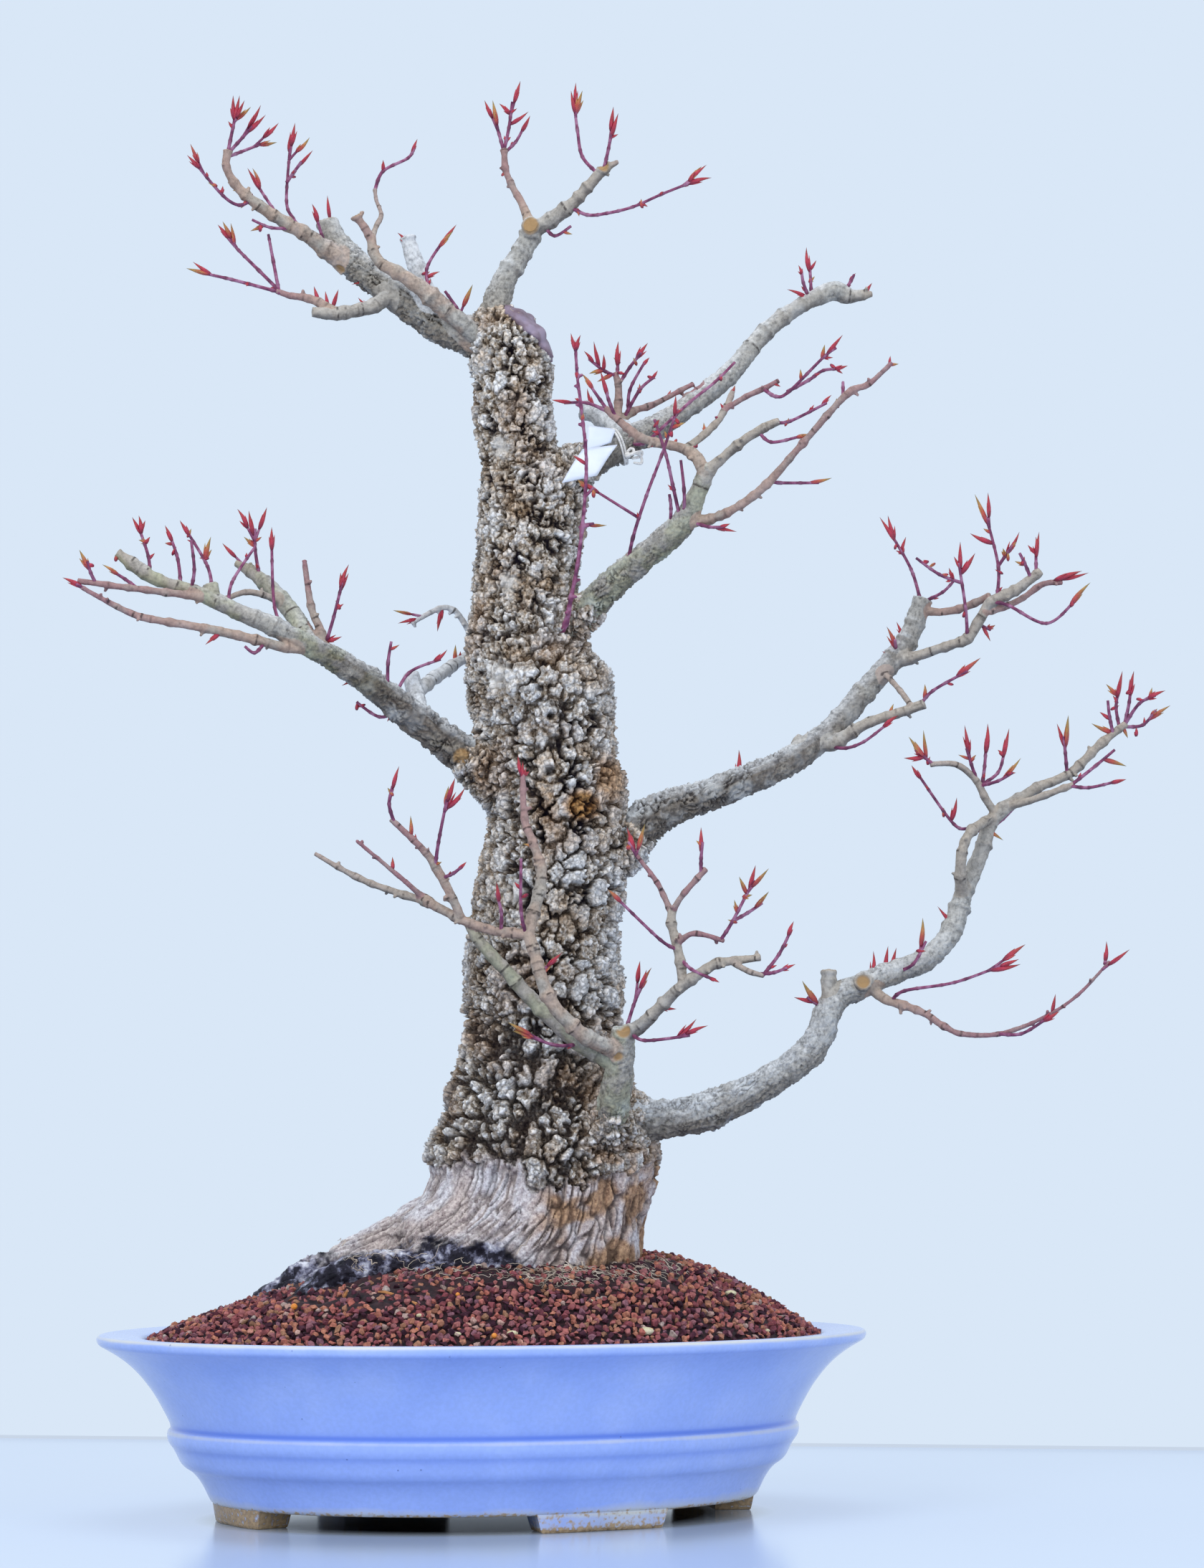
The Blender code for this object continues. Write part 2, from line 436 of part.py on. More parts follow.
def to_mesh(curve_object, home, look=None):
    """The curve's evaluated tube as a mesh object with welded caps, in place of the curve."""
    evaluated = curve_object.evaluated_get(bpy.context.evaluated_depsgraph_get())
    mesh = bpy.data.meshes.new_from_object(evaluated)
    shape = bmesh.new()
    shape.from_mesh(mesh)
    bmesh.ops.remove_doubles(shape, verts=shape.verts, dist=1e-6)
    bmesh.ops.recalc_face_normals(shape, faces=shape.faces)
    shape.to_mesh(mesh)
    shape.free()
    name = curve_object.name
    place = curve_object.matrix_world.copy()
    bpy.data.objects.remove(curve_object)
    made = add_object(name, mesh, home, look)
    made.matrix_world = place
    return made


def tube(name, points, radii, home, look=None, sides=8, closed=False):
    """A tube of changing radius along straight runs between points."""
    curve = bpy.data.curves.new(name, "CURVE")
    curve.dimensions = "3D"
    curve.bevel_depth = MM
    curve.bevel_resolution = sides // 2 - 2
    curve.use_fill_caps = not closed
    curve.render_resolution_u = 0
    line = curve.splines.new("POLY")
    line.points.add(len(points) - 1)
    line.use_cyclic_u = closed
    for point, place, radius in zip(line.points, points, radii):
        point.co = (*(Vector(place) * MM), 1)
        point.radius = radius
    made = bpy.data.objects.new(name, curve)
    home.objects.link(made)
    bpy.context.view_layer.update()
    return to_mesh(made, home, look)


def loft(name, rings, home, look=None):
    """A closed solid through rings of points, each ring with the same count."""
    shape = bmesh.new()
    rows = [[shape.verts.new(Vector(p) * MM) for p in ring] for ring in rings]
    for low, high in zip(rows, rows[1:]):
        for i in range(len(low)):
            j = (i + 1) % len(low)
            shape.faces.new((low[i], low[j], high[j], high[i]))
    shape.faces.new(list(reversed(rows[0])))
    shape.faces.new(rows[-1])
    bmesh.ops.recalc_face_normals(shape, faces=shape.faces)
    mesh = bpy.data.meshes.new(name)
    shape.to_mesh(mesh)
    shape.free()
    return add_object(name, mesh, home, look)


def combine(target, tool, operation):
    """A Boolean modifier; the tool becomes a hidden cutter."""
    step = target.modifiers.new(operation.lower(), "BOOLEAN")
    step.operation = operation
    step.solver = "EXACT"
    step.object = tool
    tool.hide_render = True
    tool.display_type = "WIRE"


def settle(target):
    """Applies the target's modifiers, so that it can itself be cut or copied."""
    bpy.context.view_layer.update()
    evaluated = target.evaluated_get(bpy.context.evaluated_depsgraph_get())
    mesh = bpy.data.meshes.new_from_object(evaluated)
    look = target.data.materials[0] if target.data.materials else None
    target.modifiers.clear()
    target.data = mesh
    if look:
        mesh.materials.clear()
        mesh.materials.append(look)


def lifted(x, y, z):
    """A point of the tree: fanned out with depth, scaled in height, and set on the soil."""
    fan = 1 + y / FAN_FROM
    high = FAN_Z + (z - FAN_Z) * fan
    return Vector((
        POT_X + FAN_X + (x - FAN_X) * fan,
        y,
        TRUNK_DATUM + (high - TRUNK_DATUM) * TREE_HEIGHT + LIFT,
    ))


# ---------------------------------------------------------------- pot

def outer_profile():
    """Outer side of the pot at its ends, from the lip's edge down to the base."""
    base = SPAN - BASE_INSET
    waist = SPAN - 45
    under_belt = BELT_TOP - BELT
    return [
        (SPAN - 2, POT_HEIGHT),
        (SPAN, POT_HEIGHT - 2),
        (SPAN, POT_HEIGHT - LIP + 2),
        (SPAN - 3, POT_HEIGHT - LIP),
        (SPAN - 14, POT_HEIGHT - LIP - 6),
        (SPAN - 24, POT_HEIGHT - LIP - 14),
        (SPAN - 34, POT_HEIGHT - LIP - 26),
        (SPAN - 41, POT_HEIGHT - LIP - 38),
        (waist, BELT_TOP + 2),
        (waist + BELT_PROUD, BELT_TOP),
        (waist + BELT_PROUD, under_belt + 2),
        (waist - 2, under_belt),
        (waist - 8, under_belt - 13),
        (base + 7, FOOT_HEIGHT + 12),
        (base + 2, FOOT_HEIGHT + 2),
        (base, FOOT_HEIGHT),
    ]


def inner_profile():
    """Inner side of the pot at its ends, from the floor's edge up to the mouth."""
    mouth = SPAN - LIP_WIDTH
    return [
        (SPAN - BASE_INSET - WALL - 4, FLOOR_TOP),
        (SPAN - BASE_INSET - WALL + 8, FLOOR_TOP + 8),
        (SPAN - 45 - WALL - 2, BELT_TOP),
        (SPAN - 34 - WALL, POT_HEIGHT - LIP - 20),
        (mouth, POT_HEIGHT - LIP),
    ]


def turned(name, profile, home, look=None, steps=48):
    """A profile turned about Z, squashed to the pot's oval and turned with the pot."""
    shape = bmesh.new()
    row = [shape.verts.new((x * MM, 0, z * MM)) for x, z in profile]
    for a, b in zip(row, row[1:]):
        shape.edges.new((a, b))
    mesh = bpy.data.meshes.new(name)
    shape.to_mesh(mesh)
    shape.free()
    made = add_object(name, mesh, home, look)
    screw = made.modifiers.new("turn", "SCREW")
    screw.axis = "Z"
    screw.steps = steps
    screw.render_steps = steps
    screw.use_merge_vertices = True
    screw.merge_threshold = 0.00001
    settle(made)
    made.data.transform(pot_place() @ Matrix.Diagonal((1, SQUASH, 1, 1)))
    return made


def pot_place():
    return Matrix.Translation((POT_X * MM, 0, 0)) @ Matrix.Rotation(math.radians(POT_TURN), 4, "Z")


def foot(name, middle, length, home):
    """A foot that follows the base's oval: middle is its angle round the oval, in degrees."""
    out = SPAN - BASE_INSET
    reach = math.hypot(out * math.sin(math.radians(middle)), out * SQUASH * math.cos(math.radians(middle)))
    half = length / 2 / reach
    angles = [math.radians(middle) + half * (i / 4 - 1) for i in range(9)]
    edge = [(out * math.cos(a), out * SQUASH * math.sin(a)) for a in angles]
    inner = out - FOOT_DEEP
    back = [(inner * math.cos(a), (out * SQUASH - FOOT_DEEP) * math.sin(a)) for a in reversed(angles)]
    outline = edge + back
    cx = sum(x for x, y in outline) / len(outline)
    cy = sum(y for x, y in outline) / len(outline)
    rings = []
    for z, inset in ((FOOT_HEIGHT + 3, 0.5), (FOOT_HEIGHT - 1, 0.5), (0, FOOT_TAPER)):
        ring = []
        for x, y in outline:
            away = math.hypot(x - cx, y - cy)
            keep = 1 - inset / away
            ring.append((cx + (x - cx) * keep, cy + (y - cy) * keep, z))
        rings.append(ring)
    made = loft(name, rings, home)
    made.data.transform(pot_place())
    return made


def drain_spots():
    return [(-DRAIN_PITCH / 2, 0), (DRAIN_PITCH / 2, 0)]


def make_pot(parts, cutters, look):
    profile = [(0.0, FOOT_HEIGHT)] + list(reversed(outer_profile()))
    inner = list(reversed(inner_profile()))
    top = [(SPAN - LIP_WIDTH + 4, POT_HEIGHT - 1.5)]
    profile = profile + top + inner + [(0.0, FLOOR_TOP)]
    profile.reverse()
    pot = turned("pot", profile, parts, look)
    shift = math.degrees(math.asin(SIDE_FOOT_SHIFT / (SPAN - BASE_INSET)))
    spots = [(0, END_FOOT), (90 + shift, SIDE_FOOT), (180, END_FOOT), (270 + shift, SIDE_FOOT)]
    for number, (middle, length) in enumerate(spots):
        combine(pot, foot("foot_%d" % (number + 1), middle, length, cutters), "UNION")
    for number, (x, y) in enumerate(drain_spots()):
        combine(pot, drill("drain_%d" % (number + 1), x, y, DRAIN_HOLE, cutters), "DIFFERENCE")
    settle(pot)
    return pot


def drill(name, x, y, width, home):
    shape = bmesh.new()
    place = Matrix.Translation((x * MM, y * MM, (FLOOR_TOP - FLOOR / 2) * MM))
    bmesh.ops.create_cone(shape, cap_ends=True, segments=24, radius1=width / 2 * MM, radius2=width / 2 * MM,
                          depth=FLOOR * 2 * MM, matrix=place)
    mesh = bpy.data.meshes.new(name)
    shape.to_mesh(mesh)
    shape.free()
    mesh.transform(pot_place())
    return add_object(name, mesh, home)


def box(name, low, high, home, look=None):
    """A box in the pot's own directions, from its low corner to its high one."""
    shape = bmesh.new()
    low, high = Vector(low), Vector(high)
    size = (high - low) * MM
    place = Matrix.Translation((low + high) / 2 * MM) @ Matrix.Diagonal((*size, 1))
    bmesh.ops.create_cube(shape, size=1, matrix=place)
    mesh = bpy.data.meshes.new(name)
    shape.to_mesh(mesh)
    shape.free()
    mesh.transform(pot_place())
    return add_object(name, mesh, home, look)


# ---------------------------------------------------------------- drain meshes and their clips

def mesh_side():
    return MESH_CELLS * MESH_CELL + MESH_WEB


def make_drain_mesh(number, x, y, parts, cutters, look):
    low = FLOOR_TOP + GAP
    half = mesh_side() / 2
    sheet = box("drain_mesh_%d" % number, (x - half, y - half, low), (x + half, y + half, low + MESH_THICK),
                parts, look)
    shape = bmesh.new()
    opening = MESH_CELL - MESH_WEB
    for i in range(MESH_CELLS):
        for j in range(MESH_CELLS):
            spot = ((i - (MESH_CELLS - 1) / 2) * MESH_CELL, (j - (MESH_CELLS - 1) / 2) * MESH_CELL)
            place = Matrix.Translation(Vector((x + spot[0], y + spot[1], low)) * MM)
            bmesh.ops.create_cube(shape, size=opening * MM, matrix=place)
    mesh = bpy.data.meshes.new("mesh_openings_%d" % number)
    shape.to_mesh(mesh)
    shape.free()
    mesh.transform(pot_place())
    combine(sheet, add_object("mesh_openings_%d" % number, mesh, cutters), "DIFFERENCE")
    settle(sheet)


def make_clip(number, x, y, parts, look):
    """A staple of wire: over the mesh, down through the drain hole, and out under the pot."""
    wire = CLIP_WIRE / 2
    high = FLOOR_TOP + GAP + MESH_THICK + GAP + wire
    low = FOOT_HEIGHT - GAP - wire
    leg = MESH_CELL / 2
    arm = DRAIN_HOLE / 2 + CLIP_ARM
    route = [(-arm, low), (-leg, low), (-leg, high), (leg, high), (leg, low), (arm, low)]
    points = [(x + along, y + MESH_CELL / 2, z) for along, z in route]
    clip = tube("mesh_clip_%d" % number, points, [wire] * len(points), parts, look, sides=8)
    clip.data.transform(pot_place())


# ---------------------------------------------------------------- soil

def make_soil(parts, cutters, look, steps=48):
    """Soil inside the pot, heaped to a mound whose crown lies off the middle."""
    rings = []
    inset = GAP / SQUASH * 1.25
    for x, z in inner_profile():
        rings.append((x - inset, z + (GAP if z == FLOOR_TOP else 0), 0))
    edge = POT_HEIGHT - SOIL_SINK
    mouth = SPAN - LIP_WIDTH - inset
    rings.append((mouth, edge, 0))
    for share, rise in ((.93, .16), (.82, .36), (.68, .60), (.55, .78), (.4, .93), (.25, 1.0), (.1, 1.0)):
        rings.append((mouth * share, edge + (SOIL_SINK + SOIL_CROWN) * rise, MOUND_SHIFT * (1 - share)))
    rows = []
    for reach, z, shift in rings:
        turns = [2 * math.pi * i / steps for i in range(steps)]
        rows.append([(shift + reach * math.cos(a), reach * SQUASH * math.sin(a), z) for a in turns])
    soil = loft("soil", rows, parts, look)
    soil.data.transform(pot_place())
    combine(soil, trunk_body("trunk_socket", GAP, cutters), "DIFFERENCE")
    high = FLOOR_TOP + MESH_THICK + CLIP_WIRE + 4 * GAP
    half = mesh_side() / 2 + GAP
    for number, (x, y) in enumerate(drain_spots()):
        pocket = box("pocket_%d" % (number + 1), (x - half, y - half, FLOOR_TOP - 2), (x + half, y + half, high),
                     cutters)
        combine(soil, pocket, "DIFFERENCE")
    settle(soil)


# ---------------------------------------------------------------- tree

def trunk_body(name, grow, home, look=None, sides=16):
    """The trunk with its surface roots. grow thickens it all round, to cut what fits against it."""
    rows = []
    for z, left, right, deep in TRUNK:
        if z == TRUNK[0][0]:
            z = TRUNK_FOOT - grow
        if z == TRUNK[-1][0]:
            z = z + grow
        middle = (left + right) / 2
        half = (right - left) / 2 * GIRTH + grow
        turns = [2 * math.pi * i / sides for i in range(sides)]
        ring = [lifted(middle + half * math.cos(a), 0, z) + Vector((0, half * deep * math.sin(a), 0))
                for a in turns]
        rows.append(ring)
    body = loft(name, rows, home, look)
    for number, root in enumerate(ROOTS):
        points = [lifted(x, y, z) for x, y, z, r in root]
        radii = [r * GIRTH + grow for x, y, z, r in root]
        if grow:
            points[-1] = points[-1] + (points[-1] - points[-2]).normalized() * grow
        joined = tube("%s_root_%d" % (name, number + 1), points, radii, home, sides=10)
        combine(body, joined, "UNION")
        settle(body)
        bpy.data.objects.remove(joined)
    return body


def twig_run(twig):
    """A twig's points with its end bud, and the radii along them."""
    points = [lifted(*p) for p in twig]
    ahead = (points[-1] - points[-2]).normalized()
    points.append(points[-1] + ahead * BUD_LENGTH * .4)
    points.append(points[-2] + ahead * BUD_LENGTH)
    radii = [TWIG_RADIUS] * (len(points) - 2) + [BUD_RADIUS, .35]
    return points, radii


def make_limb(name, runs, trims, parts, cutters, look):
    """A limb joined from its wood and twigs, and cut to sit against the trunk."""
    body = None
    for number, run in enumerate(runs["wood"] + runs["twigs"]):
        thick = number < len(runs["wood"])
        if thick:
            points = [lifted(x, y, z) for x, y, z, r in run]
            radii = [r for x, y, z, r in run]
        else:
            points, radii = twig_run(run)
        sides = 8 if number == 0 else 6 if thick else 4
        home = cutters if body else parts
        stroke = tube(name if body is None else "%s_run" % name, points, radii, home, look, sides)
        if body is None:
            body = stroke
            continue
        combine(body, stroke, "UNION")
        settle(body)
        bpy.data.objects.remove(stroke)
    for trim in trims:
        combine(body, trim, "DIFFERENCE")
    settle(body)
    return body


def leader_trim(cutters):
    """The leader's foot, thickened, to clear the limb beside it."""
    run = CROWN_LEADER["wood"][0]
    points = [lifted(x, y, z) for x, y, z, r in run]
    return tube("leader_trim", points, [r + GAP * 1.5 for x, y, z, r in run], cutters, sides=10)


def make_wound_paste(parts, cutters, look):
    """A thin layer of paste on the sloping cut at the right of the trunk's top."""
    paste = trunk_body("wound_paste", PASTE, parts, look)
    shape = bmesh.new()
    middle = lifted(41, 0, 734)
    place = Matrix.Translation(middle * MM) @ Matrix.Rotation(math.radians(-45), 4, "Y")
    bmesh.ops.create_cube(shape, size=1, matrix=place @ Matrix.Diagonal((46 * MM, 46 * MM, 40 * MM, 1)))
    mesh = bpy.data.meshes.new("paste_reach")
    shape.to_mesh(mesh)
    shape.free()
    combine(paste, add_object("paste_reach", mesh, cutters), "INTERSECT")
    combine(paste, trunk_body("paste_back", GAP, cutters), "DIFFERENCE")
    combine(paste, leader_trim(cutters), "DIFFERENCE")
    settle(paste)


# ---------------------------------------------------------------- label

def tie_frame():
    """Middle, radius and directions of the tie's loop round the upper back limb."""
    here, after = UPPER_RIGHT_BACK["wood"][0][3:5]
    middle = lifted(*here[:3])
    along = (lifted(*after[:3]) - middle).normalized()
    front = Vector((0, -1, 0))
    front = (front - along * front.dot(along)).normalized()
    up = front.cross(along)
    return middle, here[3] + TIE_SLACK, along, front, up


def make_tie(parts, look):
    middle, radius, along, front, up = tie_frame()
    count = 20
    turns = [2 * math.pi * i / count for i in range(count)]
    points = [middle + (front * math.cos(a) + up * math.sin(a)) * radius for a in turns]
    tube("label_tie", points, [TIE_CORD / 2] * count, parts, look, sides=6, closed=True)


def make_label(seat, parts, look):
    """A thin card that lies against the front of the limb, with the tie through the hole in its tab."""
    middle, radius, along, front, up = tie_frame()
    lean = math.radians(LABEL_LEAN)
    facing = front * math.cos(lean) + up * math.sin(lean)
    rise = facing.cross(along)
    away = radius - TIE_SLACK + LABEL_OFF
    rest = middle + facing * away
    hole = math.sqrt(radius ** 2 - away ** 2)
    curve = bpy.data.curves.new("label", "CURVE")
    curve.dimensions = "2D"
    curve.fill_mode = "BOTH"
    curve.extrude = LABEL_THICK / 2 * MM
    curve.render_resolution_u = 0
    outline = [(-40, -8), (-28, -15), (-14, -12), (-7, -8), (-3, 0), (5, hole - 3), (4, hole + 4),
               (-4, hole + 5), (-12, hole + 1), (-17, 4), (-30, 3)]
    turns = [2 * math.pi * i / 12 for i in range(12)]
    ring = [(LABEL_HOLE / 2 * math.cos(a), hole + LABEL_HOLE / 2 * math.sin(a)) for a in turns]
    for loop in (outline, ring):
        line = curve.splines.new("POLY")
        line.points.add(len(loop) - 1)
        line.use_cyclic_u = True
        for point, (x, y) in zip(line.points, loop):
            point.co = (x * MM, y * MM, 0, 1)
    made = bpy.data.objects.new("label", curve)
    parts.objects.link(made)
    turn = Matrix((along, rise, along.cross(rise))).transposed()
    made.matrix_world = Matrix.Translation(rest * MM) @ turn.to_4x4()
    bpy.context.view_layer.update()
    card = to_mesh(made, parts, look)
    combine(card, seat, "DIFFERENCE")
    settle(card)


# ---------------------------------------------------------------- all of it

def main():
    for item in list(bpy.data.objects):
        bpy.data.objects.remove(item)
    parts = collection("maple_bonsai")
    cutters = collection("cutters")
    glaze = material("lavender_blue_glaze", (.21, .33, .75), .12)
    earth = material("soil_granules", (.10, .045, .035), .95)
    bark = material("corky_bark", (.30, .26, .22), .9)
    young = material("limb_bark", (.42, .41, .36), .8)
    shoot = material("red_shoot", (.32, .07, .14), .6)
    paste = material("wound_paste", (.34, .27, .36), .5)
    card = material("label_card", (.85, .87, .93), .5)
    cord = material("white_cord", (.88, .88, .88), .9)
    grid = material("drain_mesh_plastic", (.03, .03, .03), .6)
    wire = material("aluminium_wire", (.45, .36, .28), .4, 1.0)

    make_pot(parts, cutters, glaze)
    for number, (x, y) in enumerate(drain_spots()):
        make_drain_mesh(number + 1, x, y, parts, cutters, grid)
        make_clip(number + 1, x, y, parts, wire)
    make_soil(parts, cutters, earth)
    trunk_body("trunk", 0.0, parts, bark)
    seat = trunk_body("trunk_seat", GAP, cutters)
    for name, runs in LIMBS:
        trims = [seat]
        if name == "crown_left_limb":
            trims.append(leader_trim(cutters))
        make_limb(name, runs, trims, parts, cutters, shoot if name == "front_shoot" else young)
    make_wound_paste(parts, cutters, paste)
    make_tie(parts, cord)
    make_label(seat, parts, card)
    for item in parts.objects:
        item.data.shade_smooth()
        item.data.set_sharp_from_angle(angle=math.radians(40))


main()
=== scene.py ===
"""Looks of an old maple bonsai in its glazed oval pot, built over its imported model.

Run as a script it builds every piece. Lengths in the tables are millimetres, and the tables' points
lie in the tree's own frame: x from the pot's middle, y towards the back, z over the ground.
"""
import math
import random

import bmesh
import bpy
import numpy as np
from bpy.props import FloatProperty, IntProperty, PointerProperty, StringProperty
from mathutils import Matrix, Vector, noise
from mathutils.bvhtree import BVHTree
from mathutils.kdtree import KDTree


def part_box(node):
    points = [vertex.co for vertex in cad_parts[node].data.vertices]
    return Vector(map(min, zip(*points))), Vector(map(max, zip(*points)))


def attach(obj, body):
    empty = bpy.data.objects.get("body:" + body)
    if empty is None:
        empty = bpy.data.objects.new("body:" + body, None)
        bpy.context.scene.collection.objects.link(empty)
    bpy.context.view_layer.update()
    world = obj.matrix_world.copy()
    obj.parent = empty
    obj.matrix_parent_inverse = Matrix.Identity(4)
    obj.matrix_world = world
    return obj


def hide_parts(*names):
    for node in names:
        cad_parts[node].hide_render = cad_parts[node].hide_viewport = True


bl_info = {
    "name": "Maple Bonsai",
    "version": (1, 0, 0),
    "blender": (4, 5, 0),
    "location": "View3D > Sidebar > Bonsai",
    "description": "Builds an old maple bonsai with opening buds in a glazed oval pot",
    "category": "Object",
}

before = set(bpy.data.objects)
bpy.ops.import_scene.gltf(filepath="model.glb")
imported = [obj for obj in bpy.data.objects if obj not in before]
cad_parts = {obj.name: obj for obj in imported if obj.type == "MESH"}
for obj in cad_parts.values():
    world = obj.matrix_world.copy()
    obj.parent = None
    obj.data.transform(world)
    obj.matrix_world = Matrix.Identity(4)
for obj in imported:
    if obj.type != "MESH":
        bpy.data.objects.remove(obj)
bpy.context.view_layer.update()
MM = 0.001

# The pot's place and main sizes: half its length, its width for its length, and its drain holes' places along it
POT_LOW, POT_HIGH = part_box("pot")
POT_X = (POT_LOW.x + POT_HIGH.x) / 2 / MM
POT_TURN = 25.6
POT_HEIGHT = POT_HIGH.z / MM
SPAN = 239.0
SQUASH = 370.0 / 478.0
DRAINS = (-85, 85)
DRAIN_RADIUS = 15.0

# The crown fans out with depth, as if from a point this far in front
FAN_FROM = 2800.0
FAN_X = 69.0
FAN_Z = 238.0
EYE = Vector((POT_X + FAN_X, -FAN_FROM, FAN_Z))
FULL_TURN = 2 * math.pi

# The noise that bends the bark's plates is laid out by this seed, so each run gives the same shapes
noise.seed_set(7)

# The trunk's outline: height, left edge, right edge, and how deep it is for its width
TRUNK = [
    (118, -50, 88, .80), (140, -60, 92, .80), (155, -64, 94, .80), (168, -62, 94, .80),
    (178, -52, 95, .80), (190, -39, 97, .80), (202, -34, 100, .80), (213, -35, 102, .80),
    (226, -31, 99, .80), (240, -25, 93, .82), (256, -22, 87, .84), (272, -16, 82, .86),
    (290, -13, 79, .88), (310, -13, 81, .88), (332, -12, 78, .88), (352, -9, 77, .88),
    (368, -8, 80, .88), (384, -4, 81, .88), (402, 0, 82, .88), (420, 2, 82, .88), (438, -1, 82, .88),
    (455, -4, 76, .88), (472, -6, 74, .88), (490, -11, 75, .88), (505, -12, 72, .88),
    (518, -12, 62, .88), (532, -11, 57, .88), (548, -8, 53, .88), (565, -8, 52, .88),
    (585, -5, 55, .88), (602, -4, 58, .80), (614, -4, 58, .74), (628, -3, 50, .74),
    (642, -5, 41, .82), (656, -6, 38, .88), (672, -8, 36, .88), (688, -8, 37, .88),
    (700, -9, 36, .88), (708, -10, 34, .88), (715, -10, 31, .88), (722, -9, 25, .88), (728, -6, 14, .88),
]

# Surface roots that leave the trunk's foot on the left
ROOTS = [
    [(-8, 12, 176, 27), (-38, 8, 164, 23), (-62, 5, 154, 18.5), (-90, 0, 143, 14.5), (-118, -5, 131, 13.5),
     (-138, -8, 112, 12)],
    [(10, -30, 160, 22), (-22, -38, 152, 18), (-48, -44, 146, 14), (-74, -50, 143, 13),
     (-98, -57, 134, 12), (-116, -62, 120, 9)],
]

# The limbs. "wood" runs hold x, y, z and radius; "twigs" hold x, y, z, and end at a bud's foot.
CROWN_LEFT = dict(
    wood=[
        [(0, 4, 708, 13), (-14, 4, 714, 12), (-30, 6, 719, 10.5), (-45, 9, 730, 10.5), (-60, 13, 741, 10),
         (-74, 17, 751, 9.5), (-86, 20, 761, 9.3), (-94, 23, 772, 7.5), (-100, 25, 784, 6)],
        [(-86, 18, 757, 7), (-100, 12, 767, 5.5), (-110, 8, 775, 4.5), (-121, 4, 781, 4),
         (-131, 0, 787, 3.8), (-141, -4, 794, 3.5), (-149, -6, 800, 3.3), (-156, -8, 808, 3),
         (-161, -10, 818, 2.7), (-160, -10, 828, 2.9)],
        [(-2, -5, 710, 6), (-14, -9, 719, 5.6), (-26, -13, 729, 5.5), (-36, -16, 738, 5.5),
         (-46, -18, 746, 4.6), (-57, -19, 753, 4), (-66, -19, 758, 3.6), (-71, -18, 766, 3.2),
         (-72, -17, 775, 3)],
        [(-72, -17, 772, 2.8), (-76, -19, 780, 2.5), (-82, -21, 788, 3)],
        [(-72, -17, 773, 2.4), (-69, -12, 781, 2), (-66, -9, 788, 1.6), (-69, -6, 797, 1.3),
         (-70, -4, 804, 1.5)],
        [(-33, 4, 729, 5), (-40, 3, 746, 5.2), (-46, 3, 760, 5.5), (-50, 3, 774, 3.8)],
        [(-60, 9, 739, 5), (-70, 0, 732, 4.5), (-81, -6, 729, 3.9), (-93, -10, 727, 4), (-108, -13, 728, 3.2)],
        [(-96, -10, 729, 3.4), (-104, -9, 734, 2.8), (-113, -8, 737, 2.5), (-121, -7, 738, 2.2),
         (-130, -6, 741, 2)],
    ],
    twigs=[
        [(-160, -10, 827), (-157, -11, 842), (-155, -12, 852)],
        [(-159, -10, 827), (-151, -14, 836), (-145, -17, 843)],
        [(-160, -10, 824), (-152, -4, 827), (-137, 4, 833)],
        [(-146, -5, 797), (-153, -10, 794), (-163, -15, 800), (-180, -20, 820)],
        [(-127, 1, 785), (-133, 8, 793), (-143, 13, 808)],
        [(-112, 7, 776), (-120, 9, 786), (-124, 10, 797), (-122, 11, 829)],
        [(-124, 10, 808), (-115, 3, 821)],
        [(-100, 12, 768), (-105, 5, 784)],
        [(-118, 5, 780), (-133, -4, 780), (-145, -8, 785)],
        [(-127, -6, 740), (-157, -12, 748), (-175, -14, 752)],
        [(-128, -7, 739), (-132, -3, 760), (-135, -2, 776)],
        [(-126, -6, 739), (-141, 0, 754), (-153, 4, 766), (-160, 6, 774)],
        [(-70, -4, 803), (-65, -1, 815), (-50, 4, 823), (-46, 5, 829)],
        [(-36, -16, 740), (-38, -8, 755), (-28, -4, 772)],
        [(-14, -9, 720), (-20, -15, 731), (-27, -18, 741)],
    ],
)

CROWN_LEADER = dict(
    wood=[
        [(4, 2, 708, 9.5), (3, 2, 724, 9.4), (5, 2, 736, 8.4), (9, 3, 746, 7.2), (14, 4, 755, 6.8),
         (20, 5, 765, 6.2), (25, 5, 775, 6), (28, 5, 784, 5)],
        [(26, 5, 779, 4.5), (23, 8, 788, 3.2), (19, 11, 797, 2.6), (14, 14, 806, 2.3), (10, 16, 816, 2.2),
         (9, 17, 829, 2.4)],
        [(26, 5, 778, 5), (38, 2, 785, 4.8), (46, -1, 791, 4.4), (53, -3, 797, 3.6), (60, -5, 805, 3.5),
         (69, -7, 815, 3.4), (79, -9, 821, 1.4)],
        [(26, 5, 779, 5), (25, -4, 782, 4.8)],
    ],
    twigs=[
        [(9, 17, 827), (6, 19, 838), (3, 21, 848)],
        [(9, 17, 828), (12, 18, 842), (14, 19, 858)],
        [(9, 17, 826), (16, 20, 833), (20, 22, 840)],
        [(49, -2, 793), (60, -8, 788), (72, -13, 789), (88, -18, 793), (106, -22, 801), (126, -26, 809)],
        [(67, -7, 813), (57, -2, 824), (54, 0, 840), (52, 2, 856)],
        [(70, -7, 816), (73, -10, 829), (75, -11, 841)],
        [(33, 3, 782), (40, 0, 775), (50, -5, 781)],
    ],
)

